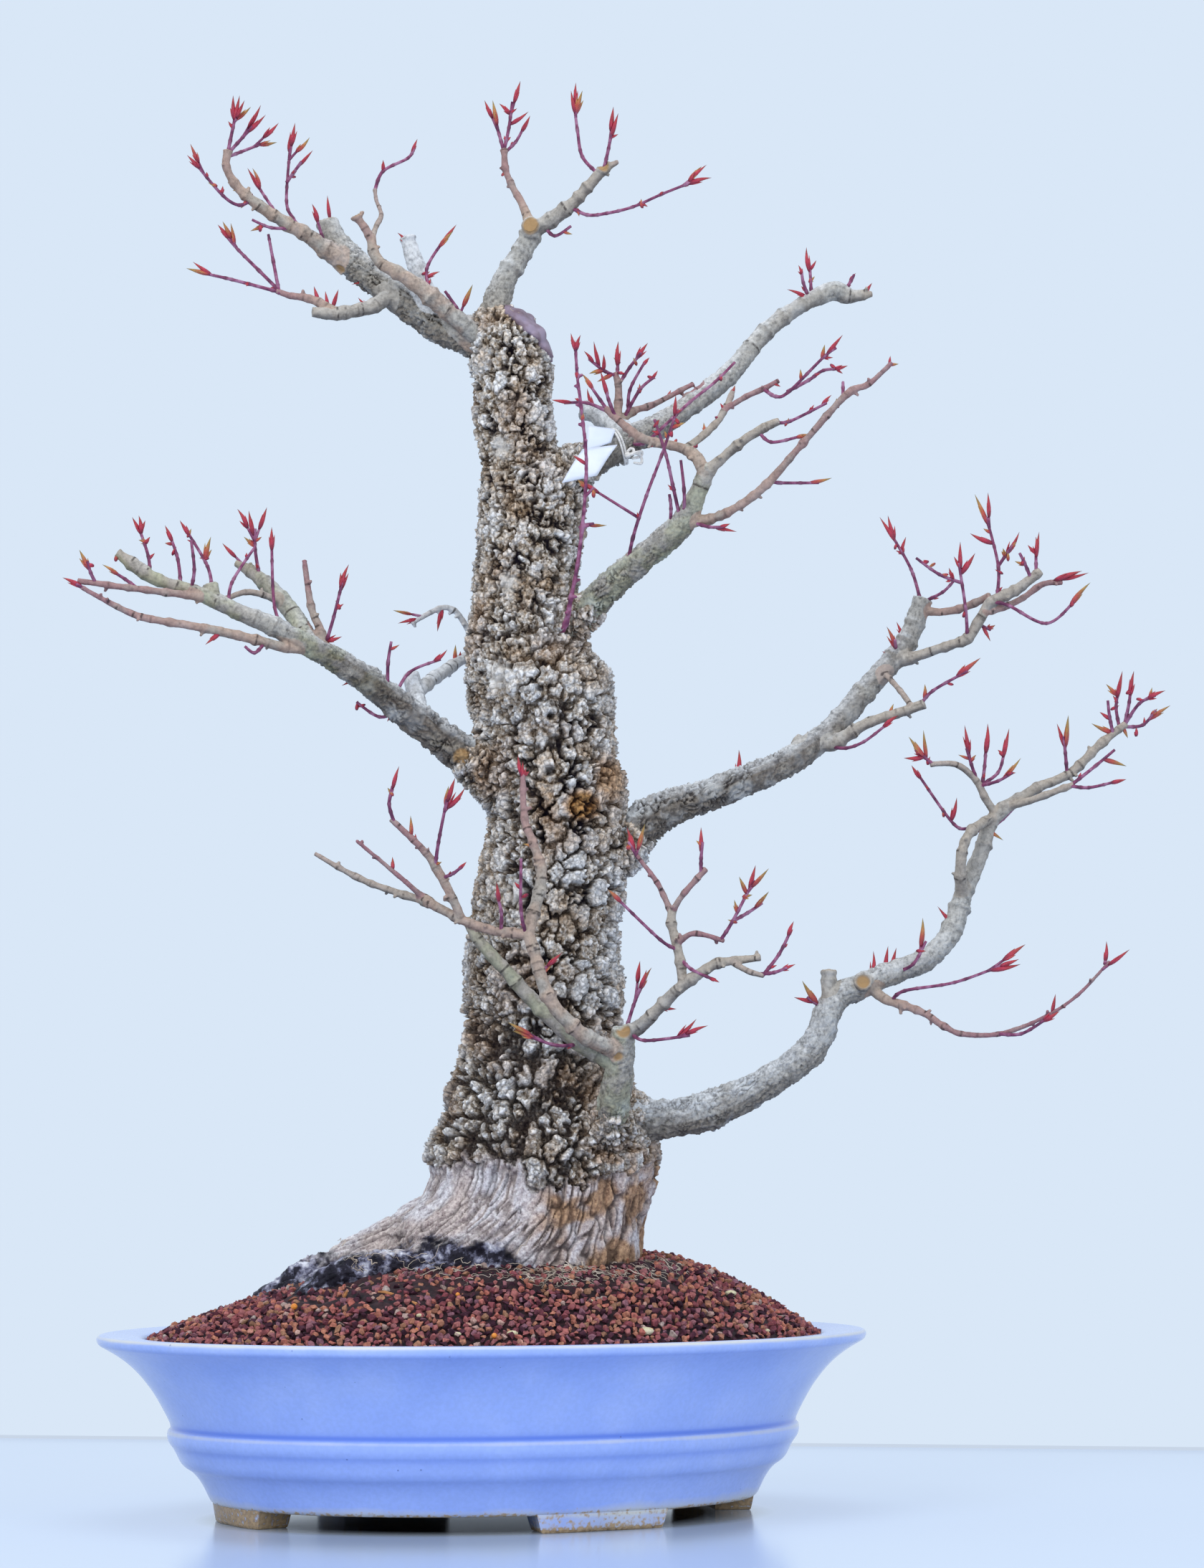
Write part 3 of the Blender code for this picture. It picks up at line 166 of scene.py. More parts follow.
UPPER_RIGHT_BACK = dict(
    wood=[
        [(32, 4, 620, 14), (49, 5, 630, 13), (63, 7, 638, 11.5), (76, 9, 644, 10), (88, 13, 650, 8.8),
         (100, 18, 656, 8), (112, 24, 663, 7), (124, 31, 672, 6.6), (135, 37, 680, 6.8),
         (145, 43, 688, 6.5), (153, 47, 697, 6), (160, 51, 706, 5.6), (169, 55, 716, 5.3),
         (180, 58, 725, 5), (192, 60, 733, 4.7), (202, 62, 738, 5.4), (211, 63, 741, 6.4),
         (220, 64, 738, 4.8), (234, 65, 739, 2)],
        [(88, 14, 651, 6.5), (78, 20, 658, 6.3), (68, 26, 664, 6), (58, 31, 668, 5.4)],
        [(78, 20, 659, 4), (88, 25, 667, 2.6), (100, 28, 671, 2.1), (125, 33, 684, 1.8)],
        [(78, 20, 659, 3.6), (79, 19, 672, 2.6), (79, 18, 682, 2.5), (77, 17, 691, 2)],
    ],
    twigs=[
        [(77, 17, 689), (70, 12, 692), (61, 7, 699)],
        [(78, 18, 686), (79, 21, 701)],
        [(79, 18, 683), (86, 14, 694), (93, 10, 703)],
        [(85, 24, 665), (86, 15, 680), (95, 8, 697)],
        [(82, 22, 662), (92, 12, 680), (101, 9, 688)],
        [(84, 12, 648), (94, -2, 647), (106, -8, 657), (122, 4, 672), (138, 16, 685), (150, 24, 697)],
        [(196, 61, 735), (192, 54, 746), (191, 52, 753)],
        [(197, 61, 736), (196, 65, 757)],
        [(216, 63, 739), (221, 68, 747), (223, 70, 751)],
    ],
)

UPPER_RIGHT_FRONT = dict(
    wood=[
        [(38, -8, 526, 10), (53, -14, 539, 10), (64, -19, 550, 9.6), (74, -24, 560, 9), (84, -28, 569, 8.6),
         (94, -32, 577, 8.2), (104, -36, 585, 8), (113, -40, 593, 8), (121, -43, 602, 7),
         (125, -45, 612, 5.8), (129, -47, 621, 5.3), (133, -49, 631, 5)],
        [(132, -49, 629, 4.4), (127, -47, 638, 3.8), (120, -44, 643, 3.2), (111, -41, 646, 3),
         (101, -38, 648, 3), (92, -35, 651, 2.8), (84, -32, 657, 2.7), (71, -28, 669, 2.3)],
        [(132, -49, 629, 4.2), (141, -52, 637, 3.2), (154, -58, 648, 3), (168, -63, 657, 3),
         (177, -65, 661, 2.4)],
        [(120, -44, 643, 2.9), (128, -40, 650, 2.6), (138, -35, 659, 2.5), (145, -31, 670, 2.3),
         (149, -30, 680, 1.8)],
        [(144, -32, 668, 2.1), (157, -35, 676, 2), (168, -38, 681, 2), (177, -40, 686, 1.5)],
        [(121, -43, 600, 4.5), (131, -46, 600, 3.4), (141, -50, 603, 2.8), (151, -54, 608, 2.8),
         (161, -58, 615, 2.8), (172, -62, 625, 2.8), (192, -70, 648, 2.3), (218, -77, 677, 2.4),
         (232, -79, 684, 2.1), (246, -80, 697, 1.5)],
    ],
    twigs=[
        [(167, -38, 681), (175, -42, 676), (183, -45, 679), (204, -49, 700), (212, -50, 706)],
        [(182, -45, 679), (195, -39, 686), (204, -36, 692), (214, -33, 693)],
        [(175, -64, 660), (184, -68, 661), (206, -76, 672)],
        [(164, -61, 655), (172, -66, 648), (188, -68, 651)],
        [(171, -62, 624), (178, -57, 623), (201, -52, 623)],
        [(124, -45, 599), (134, -52, 596), (143, -56, 596)],
        [(216, -76, 675), (216, -71, 685)],
        [(110, -39, 591), (111, -47, 607), (110, -50, 616)],
        [(117, -42, 599), (112, -54, 622), (108, -60, 640), (101, -64, 662)],
        [(84, -28, 570), (88, -42, 590), (96, -50, 615), (105, -54, 639), (115, -56, 668)],
        [(119, -43, 602), (119, -57, 618), (117, -61, 637)],
        [(74, -29, 666), (60, -24, 672), (46, -20, 672)],
        [(77, -30, 664), (73, -35, 674), (71, -37, 682)],
        [(72, -28, 668), (63, -24, 681)],
    ],
)

LEFT_LIMB = dict(
    wood=[
        [(12, -6, 438, 15), (-3, -8, 449, 13.5), (-16, -10, 458, 12), (-28, -12, 467, 10.8),
         (-40, -15, 476, 10.2), (-52, -18, 485, 9.6), (-63, -21, 494, 9), (-73, -24, 502, 8.5),
         (-84, -27, 509, 8), (-95, -30, 516, 7.4), (-106, -33, 522, 6.8), (-118, -36, 528, 6.4),
         (-130, -38, 535, 5.8), (-142, -40, 540, 5.2), (-154, -42, 545, 4.8), (-166, -44, 551, 5),
         (-178, -45, 556, 4), (-202, -46, 564, 3.6), (-212, -46, 570, 4.4), (-226, -46, 580, 2.8)],
        [(-108, -33, 522, 4), (-122, -40, 522, 3.2), (-134, -45, 525, 3.1), (-158, -53, 531, 3.1),
         (-183, -59, 536, 2.8), (-211, -62, 541, 2.4), (-231, -63, 550, 2), (-249, -63, 560, 1.4)],
        [(-173, -45, 553, 3.4), (-188, -53, 555, 2.6), (-213, -58, 558, 2.3), (-250, -61, 563, 2)],
        [(-103, -32, 520, 5.5), (-112, -23, 532, 5.5), (-119, -15, 543, 5.4), (-127, -9, 553, 5),
         (-136, -5, 562, 4.4), (-145, -1, 569, 3.6), (-154, 1, 574, 2.4)],
        [(-124, -11, 549, 2.8), (-136, -18, 554, 2.3), (-148, -21, 556, 2.1), (-162, -24, 551, 1.8)],
        [(-167, -44, 551, 4), (-169, -42, 561, 4.6)],
        [(-97, -31, 517, 3.4), (-103, -26, 535, 2.7), (-108, -23, 548, 2.5), (-112, -20, 575, 1.7)],
        [(-41, -15, 477, 5.6), (-44, -4, 492, 5.5), (-47, 0, 506, 4.8)],
        [(-44, -3, 494, 4.4), (-35, 12, 502, 4.1), (-25, 28, 509, 3.8), (-14, 42, 516, 3.4), (2, 52, 521, 3)],
        [(-5, 48, 519, 2.6), (-14, 46, 536, 2.3), (-21, 44, 545, 2.1), (-30, 42, 546, 2), (-47, 38, 537, 1.6)],
    ],
    twigs=[
        [(-99, -28, 524), (-94, -40, 541), (-89, -44, 562)],
        [(-61, -21, 493), (-61, -29, 512), (-59, -31, 526)],
        [(-58, -19, 490), (-48, -10, 507), (-29, -6, 515)],
        [(-54, -18, 484), (-66, -10, 480), (-80, -8, 489)],
        [(-139, -4, 564), (-142, -7, 582), (-142, -9, 595)],
        [(-122, -37, 530), (-130, -30, 547), (-132, -24, 586)],
        [(-158, -42, 547), (-156, -34, 562), (-142, -26, 584)],
        [(-168, -43, 557), (-171, -36, 572), (-184, -31, 594)],
        [(-181, -45, 557), (-179, -52, 570), (-181, -54, 588)],
        [(-187, -46, 559), (-189, -40, 576), (-194, -37, 591)],
        [(-206, -46, 566), (-207, -41, 578), (-213, -38, 596)],
        [(-239, -60, 562), (-242, -64, 568), (-244, -66, 575)],
        [(-213, -58, 558), (-221, -52, 564), (-229, -50, 569)],
        [(-136, -45, 525), (-142, -54, 519), (-148, -57, 523)],
        [(-245, -63, 558), (-251, -64, 561)],
    ],
)

RIGHT_LIMB = dict(
    wood=[
        [(62, 0, 397, 17), (79, 1, 403, 16), (92, 3, 413, 14), (102, 5, 421, 12.4), (113, 8, 426, 11),
         (126, 11, 430, 10.2), (140, 15, 435, 9.8), (155, 19, 441, 9.3), (170, 24, 447, 8.8),
         (184, 28, 454, 8.6), (197, 33, 463, 8.2), (208, 37, 472, 7.3), (218, 41, 483, 7),
         (228, 45, 495, 6.8), (238, 49, 506, 7), (247, 52, 516, 6.8), (254, 55, 526, 6.4),
         (259, 57, 537, 6), (264, 59, 552, 6)],
        [(194, 31, 460, 5), (186, 33, 467, 4)],
        [(245, 52, 513, 5), (257, 48, 516, 3.6), (269, 44, 520, 3.1), (281, 41, 524, 3), (291, 38, 528, 3.5),
         (299, 37, 540, 3.4), (306, 35, 550, 3.6), (320, 31, 557, 3.4), (336, 28, 569, 2.9)],
        [(302, 36, 544, 2.8), (313, 39, 547, 2.4), (324, 41, 552, 2.3), (337, 42, 561, 2.2),
         (349, 42, 562, 1.9)],
        [(262, 58, 545, 3.2), (276, 55, 544, 2.7), (290, 48, 547, 2.6), (305, 38, 554, 2.6)],
        [(200, 34, 464, 5.4), (210, 30, 464, 4.4), (221, 26, 471, 3.8), (232, 23, 477, 3.4),
         (248, 20, 482, 3.1), (265, 17, 488, 3.3)],
        [(257, 18, 486, 2.2), (250, 27, 496, 2), (241, 44, 506, 1.9)],
    ],
    twigs=[
        [(262, 18, 487), (270, 13, 496), (291, 6, 508)],
        [(207, 32, 462), (217, 20, 461), (228, 15, 465), (240, 13, 474)],
        [(263, 58, 549), (257, 63, 570), (244, 67, 593)],
        [(264, 58, 550), (276, 49, 556), (283, 46, 563)],
        [(291, 38, 527), (290, 28, 546), (286, 24, 574)],
        [(287, 26, 562), (274, 21, 567), (260, 19, 577)],
        [(309, 34, 552), (310, 42, 572), (303, 46, 602)],
        [(310, 42, 572), (319, 34, 585)],
        [(330, 29, 564), (326, 22, 574), (323, 20, 580)],
        [(333, 28, 567), (333, 34, 583)],
        [(306, 35, 550), (316, 27, 548), (339, 21, 537), (356, 16, 550)],
        [(297, 37, 537), (305, 43, 533)],
        [(248, 52, 517), (247, 43, 527)],
    ],
)

LOW_RIGHT_LIMB = dict(
    wood=[
        [(66, -12, 236, 17), (84, -14, 238, 15), (97, -15, 237, 12.6), (110, -16, 237, 11.3),
         (122, -17, 239, 11.8), (134, -18, 242, 12.2), (146, -19, 247, 10.8), (158, -20, 253, 9.8),
         (171, -21, 260, 9.2), (183, -22, 268, 9.1), (194, -22, 277, 9.2), (201, -22, 288, 8.6),
         (205, -21, 300, 8.2), (212, -19, 311, 8), (224, -17, 316, 7.6), (237, -14, 322, 7.5),
         (250, -11, 327, 6.9), (263, -7, 332, 6.5), (274, -2, 341, 6.4), (281, 2, 352, 6.2),
         (285, 6, 364, 6.1), (289, 9, 376, 5.6), (295, 12, 389, 5), (300, 14, 402, 4.6),
         (304, 16, 415, 4.5), (312, 16, 424, 4.4), (322, 16, 430, 3.8), (333, 18, 437, 3.2),
         (353, 22, 446, 3), (371, 26, 463, 2.8), (387, 27, 476, 2.4)],
        [(314, 16, 426, 3), (328, 9, 429, 2.6), (355, 3, 439, 2.2)],
        [(206, -21, 305, 5), (206, -21, 327, 4)],
        [(226, -17, 317, 5), (227, -27, 320, 4.8)],
        [(287, 7, 370, 4.4), (286, -1, 384, 3.6), (287, -4, 398, 3.1), (293, 0, 411, 3.2), (306, 15, 419, 3.2)],
        [(308, 16, 420, 3), (301, 12, 431, 2.6), (296, 9, 441, 2.5), (284, 3, 451, 2.2), (268, 0, 451, 1.9)],
        [(229, -16, 318, 3.8), (240, -23, 309, 3.2), (252, -28, 305, 2.8), (264, -31, 300, 2.4),
         (275, -34, 293, 2.2), (286, -36, 288, 2), (309, -38, 288, 1.7), (334, -40, 297, 1.4),
         (356, -42, 311, 1.2), (376, -44, 332, 1.1)],
    ],
    twigs=[
        [(270, 0, 451), (259, -4, 460)],
        [(297, 10, 439), (293, 5, 451), (290, 3, 461)],
        [(299, 11, 436), (301, 16, 450), (302, 18, 464)],
        [(298, 10, 438), (309, 16, 446), (313, 19, 458)],
        [(298, 10, 438), (309, 2, 441), (318, -2, 446)],
        [(351, 22, 445), (350, 16, 458), (349, 14, 468)],
        [(379, 26, 470), (377, 21, 480), (376, 19, 490)],
        [(383, 27, 473), (381, 33, 486), (383, 35, 498)],
        [(386, 27, 475), (389, 23, 489), (390, 22, 499)],
        [(386, 27, 475), (395, 19, 488), (405, 16, 493)],
        [(385, 27, 474), (397, 31, 475), (405, 33, 484)],
        [(353, 3, 438), (364, -3, 437), (378, -6, 440)],
        [(354, 3, 439), (368, 7, 450), (380, 8, 460)],
        [(303, 15, 410), (292, 22, 412), (282, 24, 415), (262, 26, 443)],
        [(303, 15, 411), (312, 22, 418), (319, 25, 425)],
        [(308, -38, 288), (322, -45, 288), (336, -48, 296)],
        [(244, -25, 308), (252, -33, 314), (282, -37, 319), (310, -39, 329)],
        [(246, -12, 325), (257, -22, 330), (265, -24, 344)],
        [(203, -21, 303), (193, -27, 310)],
        [(373, -44, 330), (374, -40, 337)],
    ],
)

FRONT_LIMB = dict(
    wood=[
        [(72, -26, 220, 11), (74, -43, 233, 10.5), (76, -54, 246, 9.5), (78, -60, 258, 8.8),
         (80, -64, 270, 8), (81, -66, 281, 7.6), (82, -68, 291, 6.5)],
        [(81, -67, 286, 5), (91, -73, 292, 4.4), (99, -78, 299, 3.8), (107, -82, 307, 3.6),
         (115, -86, 315, 3.6), (123, -90, 321, 3.4), (132, -93, 327, 3.1), (141, -95, 331, 2.9),
         (165, -99, 334, 2.4)],
        [(118, -87, 317, 3.4), (117, -86, 327, 3), (115, -85, 338, 3), (111, -83, 355, 2.8),
         (112, -82, 364, 2.8)],
        [(111, -82, 361, 2.2), (106, -80, 372, 2), (102, -79, 380, 1.8), (90, -77, 396, 1.4)],
        [(111, -82, 361, 2.2), (118, -87, 372, 2), (132, -91, 388, 2.2)],
        [(114, -84, 342, 2.2), (122, -89, 348, 1.9), (130, -91, 348, 1.9), (143, -92, 344, 1.5)],
        [(147, -96, 332, 2.3), (157, -102, 326, 2), (167, -104, 323, 1.7)],
        [(80, -66, 277, 5.5), (70, -73, 281, 5), (61, -78, 285, 4.6), (52, -82, 292, 4.2),
         (43, -84, 301, 4.1), (36, -85, 312, 4), (31, -85, 326, 3.7), (28, -84, 338, 3.5),
         (24, -83, 349, 3.7)],
        [(26, -83, 347, 3.3), (15, -81, 349, 3.1), (4, -79, 350, 3), (-16, -74, 357, 3),
         (-35, -68, 367, 3.1), (-42, -65, 371, 3.4)],
        [(-37, -67, 368, 2.7), (-54, -62, 373, 2.4), (-78, -56, 382, 2.2), (-105, -50, 397, 1.5)],
        [(-39, -66, 370, 2.4), (-50, -72, 380, 1.8), (-80, -77, 405, 1.2)],
        [(79, -63, 269, 5), (66, -63, 276, 5), (53, -65, 284, 4.8), (32, -68, 303, 4.4), (12, -70, 325, 4),
         (-6, -73, 345, 3.6), (-13, -72, 358, 2.7)],
        [(-15, -74, 355, 3.1), (-22, -76, 371, 2.9), (-33, -77, 391, 2.9), (-41, -78, 401, 2.2),
         (-59, -80, 418, 2)],
        [(24, -83, 347, 3.5), (27, -81, 360, 3.8), (31, -77, 374, 3.6), (32, -74, 388, 3.2),
         (27, -71, 404, 2.7), (22, -69, 419, 2.4), (21, -67, 446, 1.8)],
    ],
    twigs=[
        [(163, -103, 324), (173, -105, 325), (181, -107, 328)],
        [(166, -104, 323), (176, -100, 336), (183, -98, 350)],
        [(91, -77, 394), (85, -76, 404)],
        [(129, -90, 384), (129, -94, 394), (130, -95, 404)],
        [(114, -85, 339), (104, -93, 345), (80, -101, 368)],
        [(141, -92, 345), (148, -96, 356), (161, -99, 381)],
        [(148, -96, 356), (157, -90, 361), (166, -88, 367)],
        [(116, -85, 334), (123, -93, 327), (136, -96, 321)],
        [(86, -70, 289), (95, -82, 284), (122, -90, 287)],
        [(83, -68, 289), (88, -75, 305), (92, -78, 316)],
        [(-57, -80, 416), (-60, -84, 427), (-58, -86, 438)],
        [(-32, -77, 389), (-30, -86, 404), (-25, -91, 430)],
        [(-28, -76, 382), (-21, -83, 385), (-16, -84, 389)],
        [(23, -83, 348), (20, -92, 363), (20, -95, 394)],
        [(8, -80, 350), (8, -88, 362), (5, -90, 373)],
        [(56, -65, 282), (42, -76, 281), (26, -80, 286)],
    ],
)

FRONT_SHOOT = dict(
    wood=[
        [(40, -16, 524, 2.4), (47, -27, 537, 2), (50, -35, 552, 1.7), (54, -41, 572, 1.5),
         (57, -46, 596, 1.4), (59, -49, 620, 1.4), (59, -50, 645, 1.3), (54, -51, 688, 1.2),
         (53, -51, 705, 1.1)],
    ],
    twigs=[
        [(53, -51, 704), (52, -51, 708)],
        [(58, -48, 614), (64, -50, 620)],
        [(57, -46, 597), (64, -44, 598)],
    ],
)


LIMBS = [
    ("crown_left_limb", CROWN_LEFT),
    ("crown_leader", CROWN_LEADER),
    ("upper_right_back_limb", UPPER_RIGHT_BACK),
    ("upper_right_front_limb", UPPER_RIGHT_FRONT),
    ("left_limb", LEFT_LIMB),
    ("right_limb", RIGHT_LIMB),
    ("low_right_limb", LOW_RIGHT_LIMB),
    ("front_limb", FRONT_LIMB),
    ("front_shoot", FRONT_SHOOT),
]

# The bark's tone along each limb's wood runs: g grey, d dark, s silver, w white, n green, m green over dark,
# p peach, r red-purple
TONES = {
    "crown_left_limb": "gpppgwgp", "crown_leader": "gpgg", "upper_right_back_limb": "gwpp",
    "upper_right_front_limb": "npggpp", "left_limb": "mppngnpwww", "right_limb": "dggppgg",
    "low_right_limb": "sgsgggp", "front_limb": "nggpppgppgpnpp", "front_shoot": "r",
}
# Bud tips by limb: x and z in the tree's own frame. Each grows from the nearest wood or twig.
BUDS = {
    "crown_left_limb": [
        (-157, 862), (-153, 862), (-150, 859), (-146, 855), (-140, 856), (-137, 850), (-129, 845), (-130, 833),
        (-160, 846), (-183, 832), (-185, 825), (-172, 808), (-163, 806), (-157, 803), (-150, 798), (-148, 817),
        (-145, 817), (-119, 845), (-110, 836), (-108, 828), (-99, 800), (-152, 792), (-185, 755), (-181, 759),
        (-135, 787), (-139, 783), (-166, 782), (-163, 784), (-158, 783), (-146, 778), (-84, 745), (-80, 737),
        (-44, 835), (-65, 822), (-56, 777), (-20, 782), (-22, 778), (-30, 753), (-33, 743), (-10, 745),
        (-36, 753), (-122, 838), (-124, 812), (-100, 741), (-107, 744), (-92, 742),
    ],
    "crown_leader": [
        (-3, 859), (2, 859), (6, 857), (19, 871), (17, 854), (24, 852), (53, 870), (57, 865), (50, 865),
        (76, 855), (79, 851), (79, 838), (130, 818), (133, 819), (136, 811), (93, 798), (97, 793), (55, 787),
        (51, 776), (12, 816), (126, 815),
    ],
    "upper_right_back_limb": [
        (58, 704), (64, 710), (70, 702), (79, 710), (76, 700), (97, 709), (98, 700), (103, 692), (102, 687),
        (60, 681), (66, 685), (61, 690), (68, 693), (111, 680), (155, 701), (194, 768), (200, 760), (189, 757),
        (199, 750), (182, 742), (224, 752), (234, 746), (88, 700), (84, 690), (92, 684), (129, 676), (141, 690),
        (116, 664), (134, 680),
    ],
    "upper_right_front_limb": [
        (216, 714), (205, 708), (210, 700), (219, 695), (213, 692), (212, 675), (209, 677), (183, 663),
        (209, 626), (151, 593), (136, 622), (216, 690), (250, 696), (245, 701), (109, 622), (54, 625),
        (103, 648), (107, 655), (112, 664), (118, 668), (120, 660), (104, 662), (110, 657), (114, 677),
        (38, 674), (68, 692), (125, 650), (131, 660), (141, 672), (150, 683), (143, 662), (178, 682),
        (190, 693), (112, 645), (99, 655), (122, 641), (147, 598),
    ],
    "left_limb": [
        (-259, 565), (-249, 582), (-235, 573), (-217, 602), (-213, 603), (-209, 600), (-197, 586), (-206, 590),
        (-213, 588), (-197, 597), (-188, 600), (-184, 597), (-181, 595), (-176, 577), (-153, 607), (-135, 608),
        (-138, 590), (-132, 596), (-85, 573), (-89, 529), (-55, 537), (-54, 524), (-20, 524), (-25, 521),
        (-17, 520), (-31, 532), (-80, 486), (-89, 499), (-172, 524), (-153, 532), (-137, 544), (-90, 568),
        (-93, 551), (-88, 549), (-146, 606), (-162, 586), (-149, 590), (-246, 573), (-225, 580), (-203, 580),
        (-190, 584), (-169, 590), (-58, 545), (-79, 490),
    ],
    "right_limb": [
        (299, 516), (277, 501), (265, 500), (246, 488), (238, 602), (243, 603), (267, 571), (280, 571),
        (287, 587), (293, 592), (254, 590), (249, 587), (296, 616), (304, 617), (323, 593), (321, 587),
        (333, 590), (335, 593), (320, 575), (366, 562), (361, 569), (357, 552), (308, 536), (305, 526),
        (230, 505), (248, 538), (242, 535), (253, 541), (152, 460), (316, 581), (328, 585), (301, 595),
        (283, 578), (274, 566), (262, 574), (296, 580), (308, 570), (313, 583), (326, 578), (256, 528),
        (239, 520), (262, 535), (300, 534), (310, 545), (291, 546), (365, 568),
    ],
    "low_right_limb": [
        (255, 468), (264, 472), (252, 455), (289, 475), (303, 476), (316, 473), (323, 455), (345, 476),
        (352, 481), (375, 500), (385, 508), (392, 508), (403, 498), (411, 496), (414, 487), (398, 480),
        (387, 450), (388, 467), (284, 431), (276, 425), (328, 434), (312, 405), (388, 339), (374, 344),
        (343, 312), (325, 342), (322, 330), (233, 338), (242, 341), (247, 340), (263, 358), (272, 365),
        (265, 338), (270, 344), (278, 348), (239, 320), (211, 325), (185, 310), (190, 320), (379, 493),
        (392, 497), (399, 490), (406, 485), (371, 483), (366, 476), (383, 487), (296, 457), (309, 460),
        (285, 457), (268, 456), (320, 446), (393, 474), (258, 462),
    ],
    "front_limb": [
        (186, 330), (185, 356), (84, 413), (95, 415), (129, 413), (162, 390), (170, 388), (170, 374),
        (149, 369), (145, 357), (133, 293), (126, 297), (114, 303), (99, 328), (140, 319), (-54, 450),
        (-61, 437), (-20, 443), (-24, 438), (-14, 437), (-13, 392), (-58, 395), (-28, 392), (-44, 409),
        (18, 457), (21, 453), (25, 447), (21, 403), (5, 380), (16, 380), (19, 370), (15, 291), (9, 322),
        (40, 335), (45, 337), (75, 230), (-36, 401), (-47, 420), (92, 332), (88, 404), (126, 405),
        (152, 383), (160, 372), (12, 295),
    ],
    "front_shoot": [
        (50, 715), (56, 714), (54, 693), (54, 625), (64, 620), (72, 597), (57, 667), (50, 709), (51, 640),
    ],
}

# Old cuts and scars that show bare wood: x, y, z and radius, by limb
SCARS = {
    "crown_left_limb": [(-82, -21, 789, 3.4), (-92, 12, 753, 4.5), (-100, 25, 786, 6.5), (-50, 3, 776, 4.2)],
    "crown_leader": [(25, -6, 782, 6.5), (70, -9, 818, 3.5)],
    "upper_right_back_limb": [(57, 31, 668, 5)],
    "left_limb": [(-16, -21, 456, 5.5), (-112, -20, 577, 2)],
    "low_right_limb": [(227, -29, 320, 5), (206, -21, 328, 4.5)],
    "front_limb": [(79, -70, 275, 4), (82, -74, 290, 4.5)],
}

# ---------------------------------------------------------------- shaping tools

def lifted(x, y, z):
    """A point of the tree in millimetres in the frame."""
    fan = 1 + y / FAN_FROM
    return Vector((POT_X + FAN_X + (x - FAN_X) * fan, y, FAN_Z + (z - FAN_Z) * fan))


def rise(low, high, value):
    """0 under low, 1 over high, and a smooth step between."""
    t = min(max((value - low) / (high - low), 0.0), 1.0)
    return t * t * (3 - 2 * t)


def pot_place():
    return Matrix.Translation((POT_X, 0, 0)) @ Matrix.Rotation(math.radians(POT_TURN), 4, "Z")


def eased(points, radii, step):
    """Points, radii and given-point marks every step or so along the smooth curve through the points."""
    out, thick, mark = [], [], []
    last = len(points) - 1
    for i in range(last):
        a, b, c, d = points[max(i - 1, 0)], points[i], points[i + 1], points[min(i + 2, last)]
        count = max(1, round((c - b).length / step))
        for k in range(count):
            t = k / count
            out.append(0.5 * (2 * b + (c - a) * t + (2 * a - 5 * b + 4 * c - d) * t * t
                              + (3 * b - 3 * c + d - a) * t * t * t))
            thick.append(radii[i] + (radii[i + 1] - radii[i]) * t)
            mark.append(k == 0 and i > 0)
    out.append(points[-1])
    thick.append(radii[-1])
    mark.append(False)
    return out, thick, mark


def ring_faces(rows, count, start=0):
    """The quads that join rings of so many vertices, which follow each other from the start on."""
    faces = []
    for row in range(start, start + rows * count, count):
        for k in range(count):
            a, b = row + k, row + (k + 1) % count
            faces.append((a, b, b + count, a + count))
    return faces


def mesh_of(name, verts, faces, **values):
    """A mesh from vertices in millimetres, with its named numbers stored for each vertex."""
    made = bpy.data.meshes.new(name)
    made.from_pydata([Vector(v) * MM for v in verts], [], faces)
    for value, found in values.items():
        set_value(made, value, found)
    return made


def settled_rows(mesh, moved, **values):
    """Moves the mesh's vertices to those places in millimetres, and stores its named numbers."""
    mesh.vertices.foreach_set("co", (moved * MM).astype(np.float32).ravel())
    mesh.update()
    for name, found in values.items():
        set_value(mesh, name, found)


def turned_side(ahead, rng):
    """A direction square to ahead, turned at random."""
    side = ahead.orthogonal().normalized()
    side.rotate(Matrix.Rotation(rng.uniform(0, 6.28), 3, ahead))
    return side


class Strokes:
    """Vertices, faces and per-vertex values of a mesh that is gathered tube by tube."""

    def __init__(self, *values):
        self.verts, self.faces, self.looks = [], [], []
        self.values = {name: [] for name in values}

    def tube(self, points, radii, sides, look=0, flat=1.0, **values):
        """A capped tube. A value is one number, or a list with one for each point."""
        start = len(self.verts)
        side = None
        last = len(points) - 1
        for i, middle in enumerate(points):
            ahead = (points[min(i + 1, last)] - points[max(i - 1, 0)]).normalized()
            side = ahead.orthogonal() if side is None else side - ahead * side.dot(ahead)
            side.normalize()
            up = ahead.cross(side)
            for k in range(sides):
                turn = FULL_TURN * k / sides
                self.verts.append(middle + (side * math.cos(turn) + up * math.sin(turn) * flat) * radii[i])
                for name, found in self.values.items():
                    value = values.get(name, 0.0)
                    found.append(value[i] if isinstance(value, list) else value)
        self.faces += ring_faces(last, sides, start)
        self.faces.append(tuple(range(start + sides - 1, start - 1, -1)))
        self.faces.append(tuple(range(start + last * sides, start + (last + 1) * sides)))
        self.looks += [look] * (last * sides + 2)

    def blob(self, middle, size, look=0, **values):
        """A low, faceted ball."""
        shape = bmesh.new()
        bmesh.ops.create_icosphere(shape, subdivisions=2, radius=1)
        start = len(self.verts)
        for vert in shape.verts:
            self.verts.append(middle + Vector([vert.co[i] * size[i] for i in range(3)]))
            for name, found in self.values.items():
                found.append(values.get(name, 0.0))
        for face in shape.faces:
            self.faces.append(tuple(start + v.index for v in face.verts))
            self.looks.append(look)
        shape.free()

    def mesh(self, name):
        made = mesh_of(name, self.verts, self.faces, **self.values)
        made.polygons.foreach_set("material_index", self.looks)
        return made


